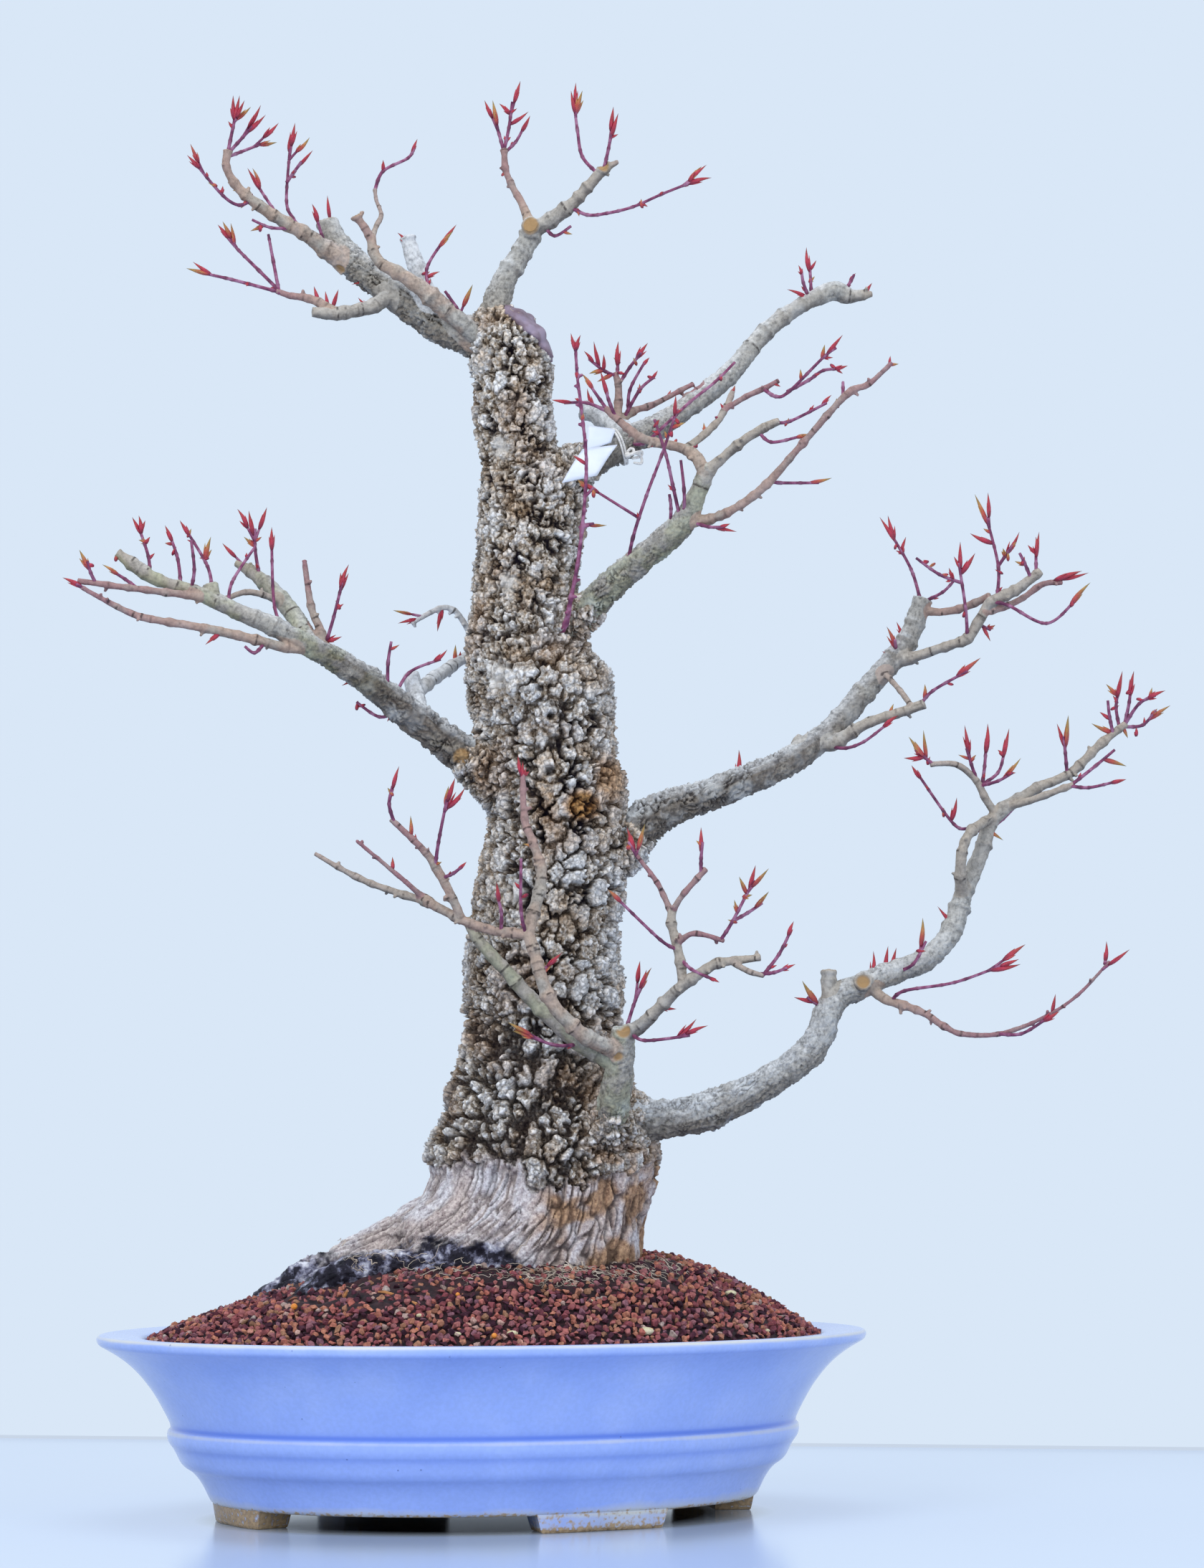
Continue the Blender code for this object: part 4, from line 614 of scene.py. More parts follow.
def set_value(mesh, name, numbers):
    """Stores one number for each vertex, which a material can read by that name."""
    held = mesh.attributes.get(name) or mesh.attributes.new(name, "FLOAT", "POINT")
    held.data.foreach_set("value", np.asarray(numbers, np.float32))


def corners(mesh, field="co"):
    """The vertices' places, or their normals, as rows of three numbers."""
    rows = np.empty(len(mesh.vertices) * 3, np.float32)
    mesh.vertices.foreach_get(field, rows)
    return rows.reshape(-1, 3)


def settle(item):
    """Applies the object's modifiers."""
    bpy.context.view_layer.update()
    graph = bpy.context.evaluated_depsgraph_get()
    made = bpy.data.meshes.new_from_object(item.evaluated_get(graph))
    item.modifiers.clear()
    item.data = made
    return made


def skinned(mesh, cell, rounds):
    """The mesh's tubes grown into one skin, of faces about one cell wide."""
    item = bpy.data.objects.new("growing", mesh)
    bpy.context.scene.collection.objects.link(item)
    skin = item.modifiers.new("skin", "REMESH")
    skin.mode = "VOXEL"
    skin.voxel_size = cell * 1.0 * MM
    even = item.modifiers.new("even", "SMOOTH")
    even.factor = 0.5
    even.iterations = rounds
    made = settle(item)
    bpy.data.objects.remove(item)
    return made


def add_piece(name, mesh, looks, replaced=(), smooth=True):
    """A finished piece of the object. It stands for the CAD nodes that it replaces."""
    mesh.name = name
    for look in looks:
        mesh.materials.append(look)
    (mesh.shade_smooth if smooth else mesh.shade_flat)()
    made = bpy.data.objects.new(name, mesh)
    bpy.context.scene.collection.objects.link(made)
    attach(made, "root")
    if replaced:
        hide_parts(*replaced)
    return made


def ground_under(tree, x, y):
    """Where a plumb line at x, y meets the mesh of that tree of faces, in millimetres, and its normal."""
    spot, normal, face, away = tree.ray_cast(Vector((x, y, 400)) * MM, Vector((0, 0, -1)))
    return (spot / MM, normal) if spot else (None, None)


def seen_spot(tree, x, z):
    """Where the sight line through x, z of the tree's own frame meets the mesh."""
    ahead = (Vector((POT_X + x, 0, z)) - EYE).normalized()
    spot, normal, face, away = tree.ray_cast(EYE * MM, ahead)
    return (spot / MM, normal) if spot else (None, None)


def face_tree(mesh):
    return BVHTree.FromPolygons([v.co for v in mesh.vertices], [tuple(p.vertices) for p in mesh.polygons])


# ---------------------------------------------------------------- colours and nodes

def linear(code, alpha=1.0):
    """A Blender colour from an sRGB hex value."""
    parts = [int(code[i:i + 2], 16) / 255 for i in (1, 3, 5)]
    return (*[c / 12.92 if c <= 0.04045 else ((c + 0.055) / 1.055) ** 2.4 for c in parts], alpha)


def add_node(tree, kind, links=None, stops=None, **settings):
    """Adds a node. Settings are its own properties, or values of its inputs by name or, as i0, by number.
    Links are its inputs' sources, and stops are a colour ramp's places and colours."""
    made = tree.nodes.new(kind)
    own = made.bl_rna.properties.keys()
    for key in [k for k in settings if k in own]:
        setattr(made, key, settings.pop(key))
    for key, value in settings.items():
        socket = int(key[1:]) if key[0] == "i" and key[1:].isdigit() else key.replace("_", " ")
        made.inputs[socket].default_value = value
    for key, source in (links or {}).items():
        tree.links.new(source, made.inputs[key])
    if stops:
        ramp = made.color_ramp
        while len(ramp.elements) < len(stops):
            ramp.elements.new(0.5)
        for element, (place, code) in zip(ramp.elements, stops):
            element.position = place
            element.color = linear(code) if isinstance(code, str) else (code, code, code, 1)
    return made


def start_material(name, **settings):
    """A new material: its node tree, its shader, and object coordinates in metres."""
    made = bpy.data.materials.new(name)
    made.use_nodes = True
    tree = made.node_tree
    tree.nodes.clear()
    shader = add_node(tree, "ShaderNodeBsdfPrincipled", **settings)
    add_node(tree, "ShaderNodeOutputMaterial", {"Surface": shader.outputs[0]})
    place = add_node(tree, "ShaderNodeTexCoord").outputs["Object"]
    return made, tree, shader, place


def value_of(tree, name):
    return add_node(tree, "ShaderNodeAttribute", attribute_name=name, attribute_type="GEOMETRY").outputs["Fac"]


def per_mm(size):
    """A pattern's scale, from the size in millimetres that one of its cells has."""
    return 1 / (size * MM)

# ---------------------------------------------------------------- materials

class Look:
    """A new material: its nodes, its shader, and patterns laid in object coordinates."""

    def __init__(self, name, **settings):
        self.made, self.tree, self.shader, self.place = start_material(name, **settings)

    def spots(self, size, detail, roughness=0.5, output="Fac"):
        """Cloudy noise whose spots are about so many millimetres wide."""
        return add_node(self.tree, "ShaderNodeTexNoise", {"Vector": self.place}, Scale=per_mm(size), Detail=detail,
                        Roughness=roughness).outputs[output]

    def ramp(self, value, stops):
        return add_node(self.tree, "ShaderNodeValToRGB", {"Fac": value}, stops).outputs[0]

    def span(self, value, low, high, start=0.0, end=1.0):
        """The value's place between low and high, laid out from start to end."""
        return add_node(self.tree, "ShaderNodeMapRange", {"Value": value}, From_Min=low, From_Max=high,
                        To_Min=start, To_Max=end).outputs[0]

    def own(self, name):
        """A value that the mesh stores by that name."""
        return value_of(self.tree, name)

    def math(self, operation, *values):
        links = {i: value for i, value in enumerate(values) if not isinstance(value, float)}
        fixed = {"i%d" % i: value for i, value in enumerate(values) if isinstance(value, float)}
        return add_node(self.tree, "ShaderNodeMath", links, operation=operation, **fixed).outputs[0]

    def mix(self, share, under, over, blend="MIX"):
        """One colour over another. The share and the upper colour may be fixed."""
        links, fixed = {6: under}, {}
        for socket, value in ((0, share), (7, over)):
            if isinstance(value, float):
                fixed["i0"] = value
            elif isinstance(value, str):
                fixed["i7"] = linear(value)
            else:
                links[socket] = value
        return add_node(self.tree, "ShaderNodeMix", links, data_type="RGBA", blend_type=blend, **fixed).outputs[2]

    def done(self, relief=None, strength=0.5, depth=0.5, **sources):
        """Links the shader's inputs and a bump of that depth in millimetres."""
        for key, source in sources.items():
            self.tree.links.new(source, self.shader.inputs[key.replace("_", " ")])
        if relief:
            bump = add_node(self.tree, "ShaderNodeBump", {"Height": relief}, Strength=strength, Distance=depth * MM)
            self.tree.links.new(bump.outputs[0], self.shader.inputs["Normal"])
        return self.made


def glazed_stoneware(colours):
    """Stoneware under a glossy fired glaze: it lies thick and deep in grooves, and breaks pale over edges.
    The feet's undersides were wiped clean, and show the brown clay."""
    look = Look("glazed_stoneware", IOR=1.5, Coat_Weight=0.35, Coat_Roughness=0.06)
    cloud, speck = look.spots(60, 4.0), look.spots(2.6, 3.0)
    body = look.ramp(cloud, [(0.3, colours.deep), (0.5, colours.glaze), (0.72, colours.light)])
    soft = look.mix(1.0, body, look.ramp(speck, [(0.35, 0.96), (0.65, 1.03)]), "MULTIPLY")
    pool = look.mix(look.own("pool"), soft, colours.pool)
    # pale where the glaze breaks thin over edges, and along the belt's top also as a painted highlight
    pale = look.mix(look.span(look.math("ADD", look.own("thin"), cloud), 0.9, 1.5), pool, colours.edge)
    holes = add_node(look.tree, "ShaderNodeTexVoronoi", {"Vector": look.place}, Scale=per_mm(17), Randomness=1.0)
    dotted = look.mix(look.span(holes.outputs["Distance"], 0.022, 0.045, 0.6, 0.0), pale, colours.pinhole)
    clay = look.ramp(speck, [(0.3, colours.clay_dark), (0.6, colours.clay)])
    bare = look.span(look.math("ADD", look.own("clay"), speck), 0.9, 1.1)
    return look.done(look.spots(14, 2.0), 0.07, 1.5, Base_Color=look.mix(bare, dotted, clay),
                     Roughness=look.span(bare, 0.0, 1.0, 0.2, 0.8))


def corky_bark(colours):
    """Thick cork on an old maple: pale weathered plates, brown sides and near-black clefts between them, with the
    cork darker the deeper its surface lies, as painted shade in hollows and painted light on the plates.
    Below it the smooth foot is ash grey with rusty cracks, and black where it stays wet, with pale blue-grey patches
    that are painted highlights of its wet sheen."""
    look = Look("corky_maple_bark", Specular_IOR_Level=0.25)
    tree = look.tree
    fine = add_node(tree, "ShaderNodeTexNoise", {"Vector": look.place}, Scale=per_mm(2.4), Detail=6.0, Roughness=0.72)
    drift = add_node(tree, "ShaderNodeMix", {4: look.place, 5: fine.outputs["Color"]}, data_type="VECTOR", i0=0.0024)
    crackle = add_node(tree, "ShaderNodeTexVoronoi", {"Vector": drift.outputs[1]}, feature="DISTANCE_TO_EDGE",
                       Scale=per_mm(4.2)).outputs["Distance"]
    fine = fine.outputs["Fac"]
    # darker along the fine crackle's edges, where its bump sinks: the cracks' own colour and painted shade
    pit = look.ramp(crackle, [(0.0, 0.35), (0.07, 0.68), (0.18, 1.0), (0.45, 1.12)])
    # the cork runs from its dark sides to white tops by that tint, so the ramp also paints shade and highlight
    cork = look.ramp(look.math("MULTIPLY_ADD", look.own("tint"), 0.42, fine),
                     [(0.4, "#2A2026"), (0.51, colours.cork_dark), (0.63, colours.cork), (0.75, colours.cork_light),
                      (0.91, "#FFFFFF")])
    cracked = look.mix(0.85, cork, pit, "MULTIPLY")
    warm = look.mix(look.span(look.spots(26, 3.0), 0.48, 0.66, 0.0, 0.5), cracked, "#D2AE7C", "MULTIPLY")
    smooth = look.ramp(fine, [(0.3, "#786D71"), (0.42, "#BAB3B8"), (0.53, "#DEDBDF"), (0.66, "#FAFAFC")])
    zone = look.mix(look.own("cork"), smooth, warm)
    rust = look.mix(look.own("rust"), zone, "#CC9C64", "MULTIPLY")
    white = look.mix(look.own("lichen"), rust, "#E4E1DC")
    # near-black clefts: their own dark bark together with painted shade in them
    cleft = look.mix(look.own("cleft"), white, colours.cleft)
    # wet peat on the root: black, with pale blue-grey patches as painted highlights of its wet sheen
    peat = look.ramp(look.spots(11, 6.0, 0.62), [(0.36, "#120F18"), (0.5, "#2C2935"), (0.57, "#83849A"),
                                                 (0.67, "#E6E8F2")])
    wet = look.own("wet")
    return look.done(look.math("ADD", crackle, fine), 0.9, 1.1, Base_Color=look.mix(wet, cleft, peat),
                     Roughness=look.span(wet, 0.0, 1.0, 0.88, 0.38))


def limb_bark(colours):
    """Bark of the limbs: grey and cracked where thick, thin and smooth with a green or peach blush where young. Old
    cuts show tan wood. Undersides are painted darker as shade, and upper faces paler as painted light."""
    look = Look("limb_maple_bark", Roughness=0.7, Specular_IOR_Level=0.3)
    fine, patch, girth = look.spots(2.6, 5.0, 0.68), look.spots(17, 2.0), look.own("girth")
    layer = look.ramp(girth, [(0.1, "#A3908A"), (0.22, "#A69C90"), (0.5, colours.limb), (0.9, "#908A80")])
    # the dark share is dark old bark and painted shade on undersides; the white share is white bark and painted light
    # on upper faces
    for name, code, low, high, most in (("dark", "#635B54", 0.25, 0.5, 0.82), ("white", "#D2D6DA", 0.1, 0.5, 0.9),
                                        ("green", colours.green, 0.42, 0.66, 0.6),
                                        ("peach", colours.peach, 0.36, 0.6, 0.75),
                                        ("purple", colours.shoot, 0.2, 0.5, 0.75)):
        share = look.math("MULTIPLY", look.span(patch, low, high, 0.0, most), look.own(name))
        layer = look.mix(share, layer, code)
    crust = look.ramp(fine, [(0.36, 0.4), (0.46, 0.84), (0.55, 1.06), (0.68, 1.45)])
    crusted = look.mix(look.span(girth, 0.2, 0.6, 0.4, 0.85), layer, crust, "MULTIPLY")
    pale = look.mix(look.math("MULTIPLY", look.span(patch, 0.52, 0.68, 0.0, 0.5), girth), crusted, "#D6DADB")
    cleft = look.mix(look.own("cleft"), pale, "#2E2524")
    return look.done(fine, 0.5, 0.6, Base_Color=look.mix(look.own("cut"), cleft, colours.cut_wood))


def young_shoot(colours):
    """This year's shoots: thin, smooth, purple-red skin with a faint waxy bloom."""
    look = Look("young_maple_shoot", Roughness=0.45)
    skin = look.ramp(look.spots(5, 3.0), [(0.36, "#5E2A4A"), (0.5, colours.shoot), (0.64, "#9C6A88")])
    return look.done(Base_Color=look.mix(look.own("ring"), skin, "#5A3540"))


def bud_scales(colours):
    """Swelling maple buds: waxy red scales, some with orange or olive tips where they open."""
    look = Look("maple_bud_scales", Roughness=0.42, Subsurface_Weight=0.12, Subsurface_Scale=1.5 * MM)
    along = look.own("along")
    red = look.ramp(along, [(0.0, "#6A2038"), (0.4, colours.bud), (0.8, "#A43E3E"), (1.0, "#6C3634")])
    ripe = look.ramp(along, [(0.0, "#8A3048"), (0.35, "#B04E42"), (0.7, colours.bud_tip), (1.0, "#7C7242")])
    mix = look.mix(look.span(look.own("tint"), 0.6, 0.8), red, ripe)
    return look.done(Base_Color=look.mix(0.8, mix, look.ramp(look.spots(3, 3.0), [(0.3, 0.75), (0.7, 1.2)]),
                                         "MULTIPLY"))


def fired_granules(colours):
    """Crushed fired clay and lava, sieved to 3 to 5 mm: dull, porous, red-brown to purple-grey."""
    look = Look("fired_clay_granules", Roughness=0.85, Specular_IOR_Level=0.35)
    grain = look.ramp(look.own("tint"),
                      [(0.0, "#2A1420"), (0.17, colours.granule_dark), (0.32, "#85484E"), (0.47, colours.granule),
                       (0.59, "#7E5A68"), (0.71, "#AC665A"), (0.82, "#947058"), (0.93, "#BC7A66"), (1.0, "#A89C96")])
    pores = look.spots(1.6, 3.0)
    dusty = look.ramp(pores, [(0.3, 0.6), (0.7, 1.35)])
    return look.done(pores, 0.5, 0.4, Base_Color=look.mix(1.0, grain, dusty, "MULTIPLY"))


def plain_look(name, dark, light, size, roughness, relief=0.0, **settings):
    """A material of one substance whose tone wavers between two colours over spots of that size in mm."""
    look = Look(name, Roughness=roughness, **settings)
    spots = look.spots(size, 4.0)
    return look.done(relief and spots, 0.7, relief, Base_Color=look.ramp(spots, [(0.35, dark), (0.65, light)]))

# ---------------------------------------------------------------- pot

def rounded(profile, rounds):
    """The profile with its corners cut smaller and smaller, its ends kept."""
    for _ in range(rounds):
        made = [profile[0]]
        for a, b in zip(profile, profile[1:]):
            made.append(tuple(p * 0.75 + q * 0.25 for p, q in zip(a, b)))
            made.append(tuple(p * 0.25 + q * 0.75 for p, q in zip(a, b)))
        profile = made + [profile[-1]]
    return profile


def pot_profile():
    """Reach, height, pooled glaze, thin glaze and bare clay, from under the base round to the floor inside."""
    top = POT_HEIGHT
    return [
        (0.5, 10, 0, .3, 1), (100, 10, 0, .3, 1), (158, 10, 0, .5, .8), (166.5, 10, 0, .8, .6),
        (168.6, 11.2, 0, .9, .5), (170.2, 13, 0, .6, .25), (174.5, 22, 0, 0, 0), (180, 29, 0, 0, 0),
        (187, 33, 0, 0, 0), (190.8, 40.5, 0, 0, 0), (192.6, 43.6, .4, 0, 0), (194.0, 45.2, .1, 0, 0),
        # just under the belt's top groove the pale thin glaze is also a painted highlight line
        (195.4, 47.6, 0, 0, 0), (196.0, 50, 0, 0, 0), (195.9, 52.8, 0, .75, 0), (195.0, 54.2, .1, .4, 0),
        (193.9, 55.0, 1, 0, 0), (194.0, 56.4, 1, 0, 0), (194.6, 58.5, .1, 0, 0), (198.0, 65, 0, 0, 0),
        (205, 77, 0, 0, 0), (215, 89, 0, 0, 0), (225, 97, .1, 0, 0), (234.5, top - 7.6, .2, .2, 0),
        (236.6, top - 6.6, .3, 0, 0), (238.4, top - 5.0, 0, .3, 0), (239.0, top - 2.8, 0, .2, 0),
        (238.4, top - 1.0, 0, .95, 0), (236.6, top - .1, 0, .5, 0), (233, top, 0, .1, 0),
        (216, top - 1.2, 0, 0, 0), (212.4, top - 1.8, .1, .1, 0), (211, top - 4, .6, 0, 0),
        (210.8, top - 7.5, .9, 0, 0), (195, 83, 0, 0, .3), (182, 54, 0, 0, 1), (166, 29, 0, 0, 1),
        (154, 21, 0, 0, 1), (100, 21, 0, 0, 1), (0.5, 21, 0, 0, 1),
    ]


def glaze_values(rows):
    """Each vertex's pooled glaze, thin glaze and bare clay, by name."""
    return dict(zip(("pool", "thin", "clay"), zip(*rows)))


def make_pot_body(look):
    """The pot's body, turned from its profile and squashed to an oval, with its drain holes cut."""
    steps = 288
    profile = rounded(pot_profile(), 2)
    verts, faces = [], []
    for i in range(steps):
        turn = FULL_TURN * i / steps
        verts += [(reach * math.cos(turn), reach * SQUASH * math.sin(turn), z) for reach, z, *marks in profile]
    count = len(profile)
    for i in range(steps):
        a, b = i * count, (i + 1) % steps * count
        for k in range(count - 1):
            faces.append((a + k, b + k, b + k + 1, a + k + 1))
    for end, flip in ((0, False), (count - 1, True)):
        ring = [i * count + end for i in range(steps)]
        faces.append(tuple(ring if flip else reversed(ring)))
    mesh = mesh_of("glazed_pot", verts, faces, **glaze_values([row[2:] for row in profile] * steps))
    for move in (Matrix.Scale(1 / MM, 4), pot_place(), Matrix.Scale(MM, 4)):
        mesh.transform(move)
    pot = add_piece("glazed_pot", mesh, [look], ["pot"])
    for x in DRAINS:
        shape = bmesh.new()
        place = Matrix.Scale(MM, 4) @ pot_place() @ Matrix.Translation((x, 0, 15))
        bmesh.ops.create_cone(shape, cap_ends=True, segments=48, radius1=DRAIN_RADIUS, radius2=DRAIN_RADIUS,
                              depth=20, matrix=place)
        hole = bpy.data.meshes.new("drain_cutter")
        shape.to_mesh(hole)
        shape.free()
        cutter = bpy.data.objects.new("drain_cutter", hole)
        bpy.context.scene.collection.objects.link(cutter)
        cut = pot.modifiers.new("drain", "BOOLEAN")
        cut.operation = "DIFFERENCE"
        cut.solver = "EXACT"
        cut.object = cutter
        settle(pot)
        bpy.data.objects.remove(cutter)
    pot.data.set_sharp_from_angle(angle=math.radians(50))


def make_foot(number, middle, length, look):
    """A foot that follows the base's oval, with soft edges and a worn, bare underside."""
    out, deep = SPAN - 71, 24
    reach = math.hypot(out * math.sin(math.radians(middle)), out * SQUASH * math.cos(math.radians(middle)))
    half = length / 2 / reach
    angles = [math.radians(middle) + half * (i / 16 - 1) for i in range(33)]
    edge = [(out * math.cos(a), out * SQUASH * math.sin(a)) for a in angles]
    back = [((out - deep) * math.cos(a), (out * SQUASH - deep) * math.sin(a)) for a in reversed(angles)]
    outline = edge + back
    cx = sum(p[0] for p in outline) / len(outline)
    cy = sum(p[1] for p in outline) / len(outline)
    verts, marks = [], []
    worn = .26 if number in (1, 3) else 0
    # height, how far it stands back, pooled glaze, thin glaze and bare clay
    levels = [(12.5, -.5, 0, .5, .3 + worn), (10, 0, 0, .95, .44 + worn), (8, .6, 0, .7, .38 + worn),
              (4, 1.8, 0, .7, .42 + worn), (1.9, 2.6, 0, .8, .62), (.5, 3.3, 0, .5, 1), (0, 4.6, 0, .5, 1)]
    for z, inset, pool, thin, clay in levels:
        for x, y in outline:
            keep = 1 - inset / math.hypot(x - cx, y - cy)
            verts.append(pot_place() @ Vector((cx + (x - cx) * keep, cy + (y - cy) * keep, z)))
            marks.append((pool, thin, clay))
    count = len(outline)
    faces = ring_faces(len(levels) - 1, count)
    faces.append(tuple(range(count)))
    faces.append(tuple(reversed(range(len(verts) - count, len(verts)))))
    mesh = mesh_of("foot", verts, faces, **glaze_values(marks))
    shape = bmesh.new()
    shape.from_mesh(mesh)
    bmesh.ops.recalc_face_normals(shape, faces=shape.faces)
    shape.to_mesh(mesh)
    shape.free()
    made = add_piece("pot_foot_%d" % number, mesh, [look], [])
    made.data.set_sharp_from_angle(angle=math.radians(45))


# ---------------------------------------------------------------- trunk

# Lumps that fill the gap between the trunk's foot and its roots: x, y, z and radius
ROOT_PAD = [
    [(-74, -34, 138, 9), (-46, -44, 143, 12), (-18, -50, 147, 13), (10, -50, 149, 11), (34, -46, 146, 8)],
    [(-30, -34, 152, 14), (-6, -40, 156, 14), (16, -40, 154, 11)],
    [(70, 34, 142, 12), (96, 22, 140, 9), (112, 10, 136, 6)],
]
# Knot holes, pale patches and swellings in the cork: x, z and radius
KNOTS = [(40, 561, 3.6), (32, 494, 3.2), (38, 478, 3.0), (38, 444, 4.2), (-2, 470, 2.6), (22, 640, 2.4)]
LICHEN = [(12, 560, 9), (8, 503, 11), (8, 642, 7), (18, 372, 7)]
BURLS = [(65, 505, 12), (52, 440, 13), (60, 420, 9), (88, 222, 15), (24, 214, 14), (-24, 216, 12)]
# The foot's left edge by height, and its right edge, between which its cracks fan out
FLARE_HEIGHTS = (128, 140, 150, 160, 168, 178, 190, 202, 214)
FLARE_EDGES = (-150, -138, -118, -94, -75, -56, -42, -36, -35)
FLARE_RIGHT = 95.0


def trunk_mesh():
    """The trunk, its surface roots, root pad and the collars of its limbs, grown into one skin."""
    strokes = Strokes()
    sides = 48
    for z, left, right, deep in TRUNK:
        middle, half = (left + right) / 2, (right - left) / 2 - .6
        for k in range(sides):
            turn = FULL_TURN * k / sides
            strokes.verts.append(lifted(middle + half * math.cos(turn), 0, z)
                                 + Vector((0, half * deep * math.sin(turn), 0)))
    last = len(TRUNK) - 1
    strokes.faces += ring_faces(last, sides)
    strokes.faces.append(tuple(reversed(range(sides))))
    strokes.faces.append(tuple(range(last * sides, (last + 1) * sides)))
    strokes.looks = [0] * len(strokes.faces)
    for root in ROOTS + ROOT_PAD:
        points, radii, mark = eased([lifted(*p[:3]) for p in root], [p[3] for p in root], 4)
        strokes.tube(points, radii, 20)
    for name, runs in LIMBS:
        if name in ("front_shoot", "crown_left_limb", "crown_leader"):
            continue
        run = runs["wood"][0][:4]
        points, radii, mark = eased([lifted(*p[:3]) for p in run], [p[3] for p in run], 3)
        keep = max(4, len(points) * 2 // 3)
        radii = [r * (1.12 - .5 * max(0, i - keep * .5) / keep) for i, r in enumerate(radii)]
        strokes.tube(points[:keep], radii[:keep], 20)
    return skinned(strokes.mesh("trunk_form"), .85, 6)


BARK_VALUES = ("cleft", "tint", "cork", "wet", "lichen", "rust")


def cork_at(p, x, sway, wander):
    """The cork at a point: how far it stands out, its clefts, its tint, and the share of cork against smooth foot."""
    z = p.z
    foot = 213 + 9 * wander - 17 * rise(12, 42, x) * rise(98, 70, x)
    # plates are large low down and on the right, small and upright higher up and on the left
    bend = noise.noise_vector(p / 5) * 3 + noise.noise_vector(p / 2.3) * 1.3
    big = noise.voronoi(Vector((p.x + sway.x + bend.x, p.y + sway.y + bend.y, (z + sway.z + bend.z) * .8)) / 12)
    small = noise.voronoi(Vector((p.x + sway.y + bend.z, p.y + sway.z + bend.x, (z + sway.x + bend.y) * .66)) / 7)
    big_edge, small_edge = big[0][1] - big[0][0], small[0][1] - small[0][0]
    share = rise(560, 470, z + 60 * wander) * rise(-14, 24, x + 18 * wander) * (1 - .5 * rise(300, 240, z))
    # whole plates end the cork over the foot
    cork = rise(foot - 4, foot + 3, .35 * z + .65 * big[1][0].z * 15)
    low_down = rise(335, 285, z) * rise(75, 55, x)
    share = max(share, .85 * low_down)
    # clefts open in some places and stay shut in others
    open_to = max(low_down, .55 + .45 * rise(-.4, .3, noise.noise(p / 15 + Vector((7, 3, 1)))))
    wide = .06 * low_down
    big_cleft = rise(.17 + wide, .04 + wide / 2, big_edge) * open_to * share
    small_cleft = (rise(.19 + wide, .04 + wide / 2, small_edge) * open_to * (1 - .6 * share)
                   * rise(-.7, 0, noise.noise(p / 10) + low_down))
    # each plate has its own height, and flakes of its own
    crumple = noise.turbulence(p / 3.8, 3, True)
    fine = noise.fractal(p / 2.6, 1, 2, 3)
    own = (noise.cell(big[1][0] * 3.7) * share + noise.cell(small[1][0] * 2.9) * (1 - share) + 1) / 2
    flakes = noise.voronoi(Vector((p.x + bend.y, p.y + bend.z, (z + bend.x) * .7)) / 3.4)
    flake = noise.cell(flakes[1][0] * 5.3)
    split = rise(.14, .03, flakes[0][1] - flakes[0][0])
    push = (share * 1.7 * rise(0, .2, big_edge) + (1 - share) * 1.1 * rise(0, .2, small_edge)
            - 4.8 * big_cleft - (2.8 + low_down) * small_cleft + 2.4 * (own - .5) + 2.2 * (.62 - crumple)
            + .4 * fine + .75 * flake - .5 * split)
    # the tint follows how far the surface stands out, over each plate's own tone: painted shade in the hollows and
    # painted light on the proud plates
    tint = .35 * own + .55 * rise(-2.4, 2.4, push) + .1 * flake + .15 * max(share, low_down)
    return push, max(big_cleft, small_cleft, .45 * split), tint, cork, crumple, fine


def foot_at(p, x, sway, crumple, fine):
    """The smooth foot at a point: how far it stands out, its crack lines, its rough collar and its rust."""
    flare = float(np.interp(p.z, FLARE_HEIGHTS, FLARE_EDGES))
    # cracks run along the flare, so their pattern is laid across it and drawn out along it
    across = 130 * (x - flare) / (FLARE_RIGHT - flare)
    drawn = Vector((across, p.y * .6, p.z * .2)) + sway * .3
    crack = noise.voronoi(drawn / 6)
    crack_edge = crack[0][1] - crack[0][0]
    some = rise(-.4, .2, noise.noise(p / 13)) * (.6 + .4 * rise(5, 40, x))
    grain = noise.turbulence(drawn / 3.2, 3, True)
    crack_line = rise(.17, .03, crack_edge) * some
    fold = rise(.1, .01, abs(noise.noise(Vector((across, p.y * .5, p.z * .1)) / 6 + sway * .06)))
    ragged = 9 * noise.noise(p / 9) + 3 * fine
    collar = rise(40, 68, x + 1.5 * ragged) * rise(232, 214, p.z + ragged) * rise(174, 200, p.z - 1.5 * ragged)
    push = (-2.4 * crack_line - 1.8 * fold + .5 * fine + 4.5 * noise.noise(drawn / 11)
            + (1.2 + 2.6 * collar) * (.6 - grain))
    # cracks, folds and grain hollows are darkened along their creases, partly their own colour and partly painted
    # shade
    line = max(.75 * crack_line, .62 * fold, .45 * rise(.68, 1.05, grain),
               (.3 + .4 * collar) * rise(.75, 1.25, crumple))
    return push, line, collar, .5 * rise(.4, .1, crack_edge) * some


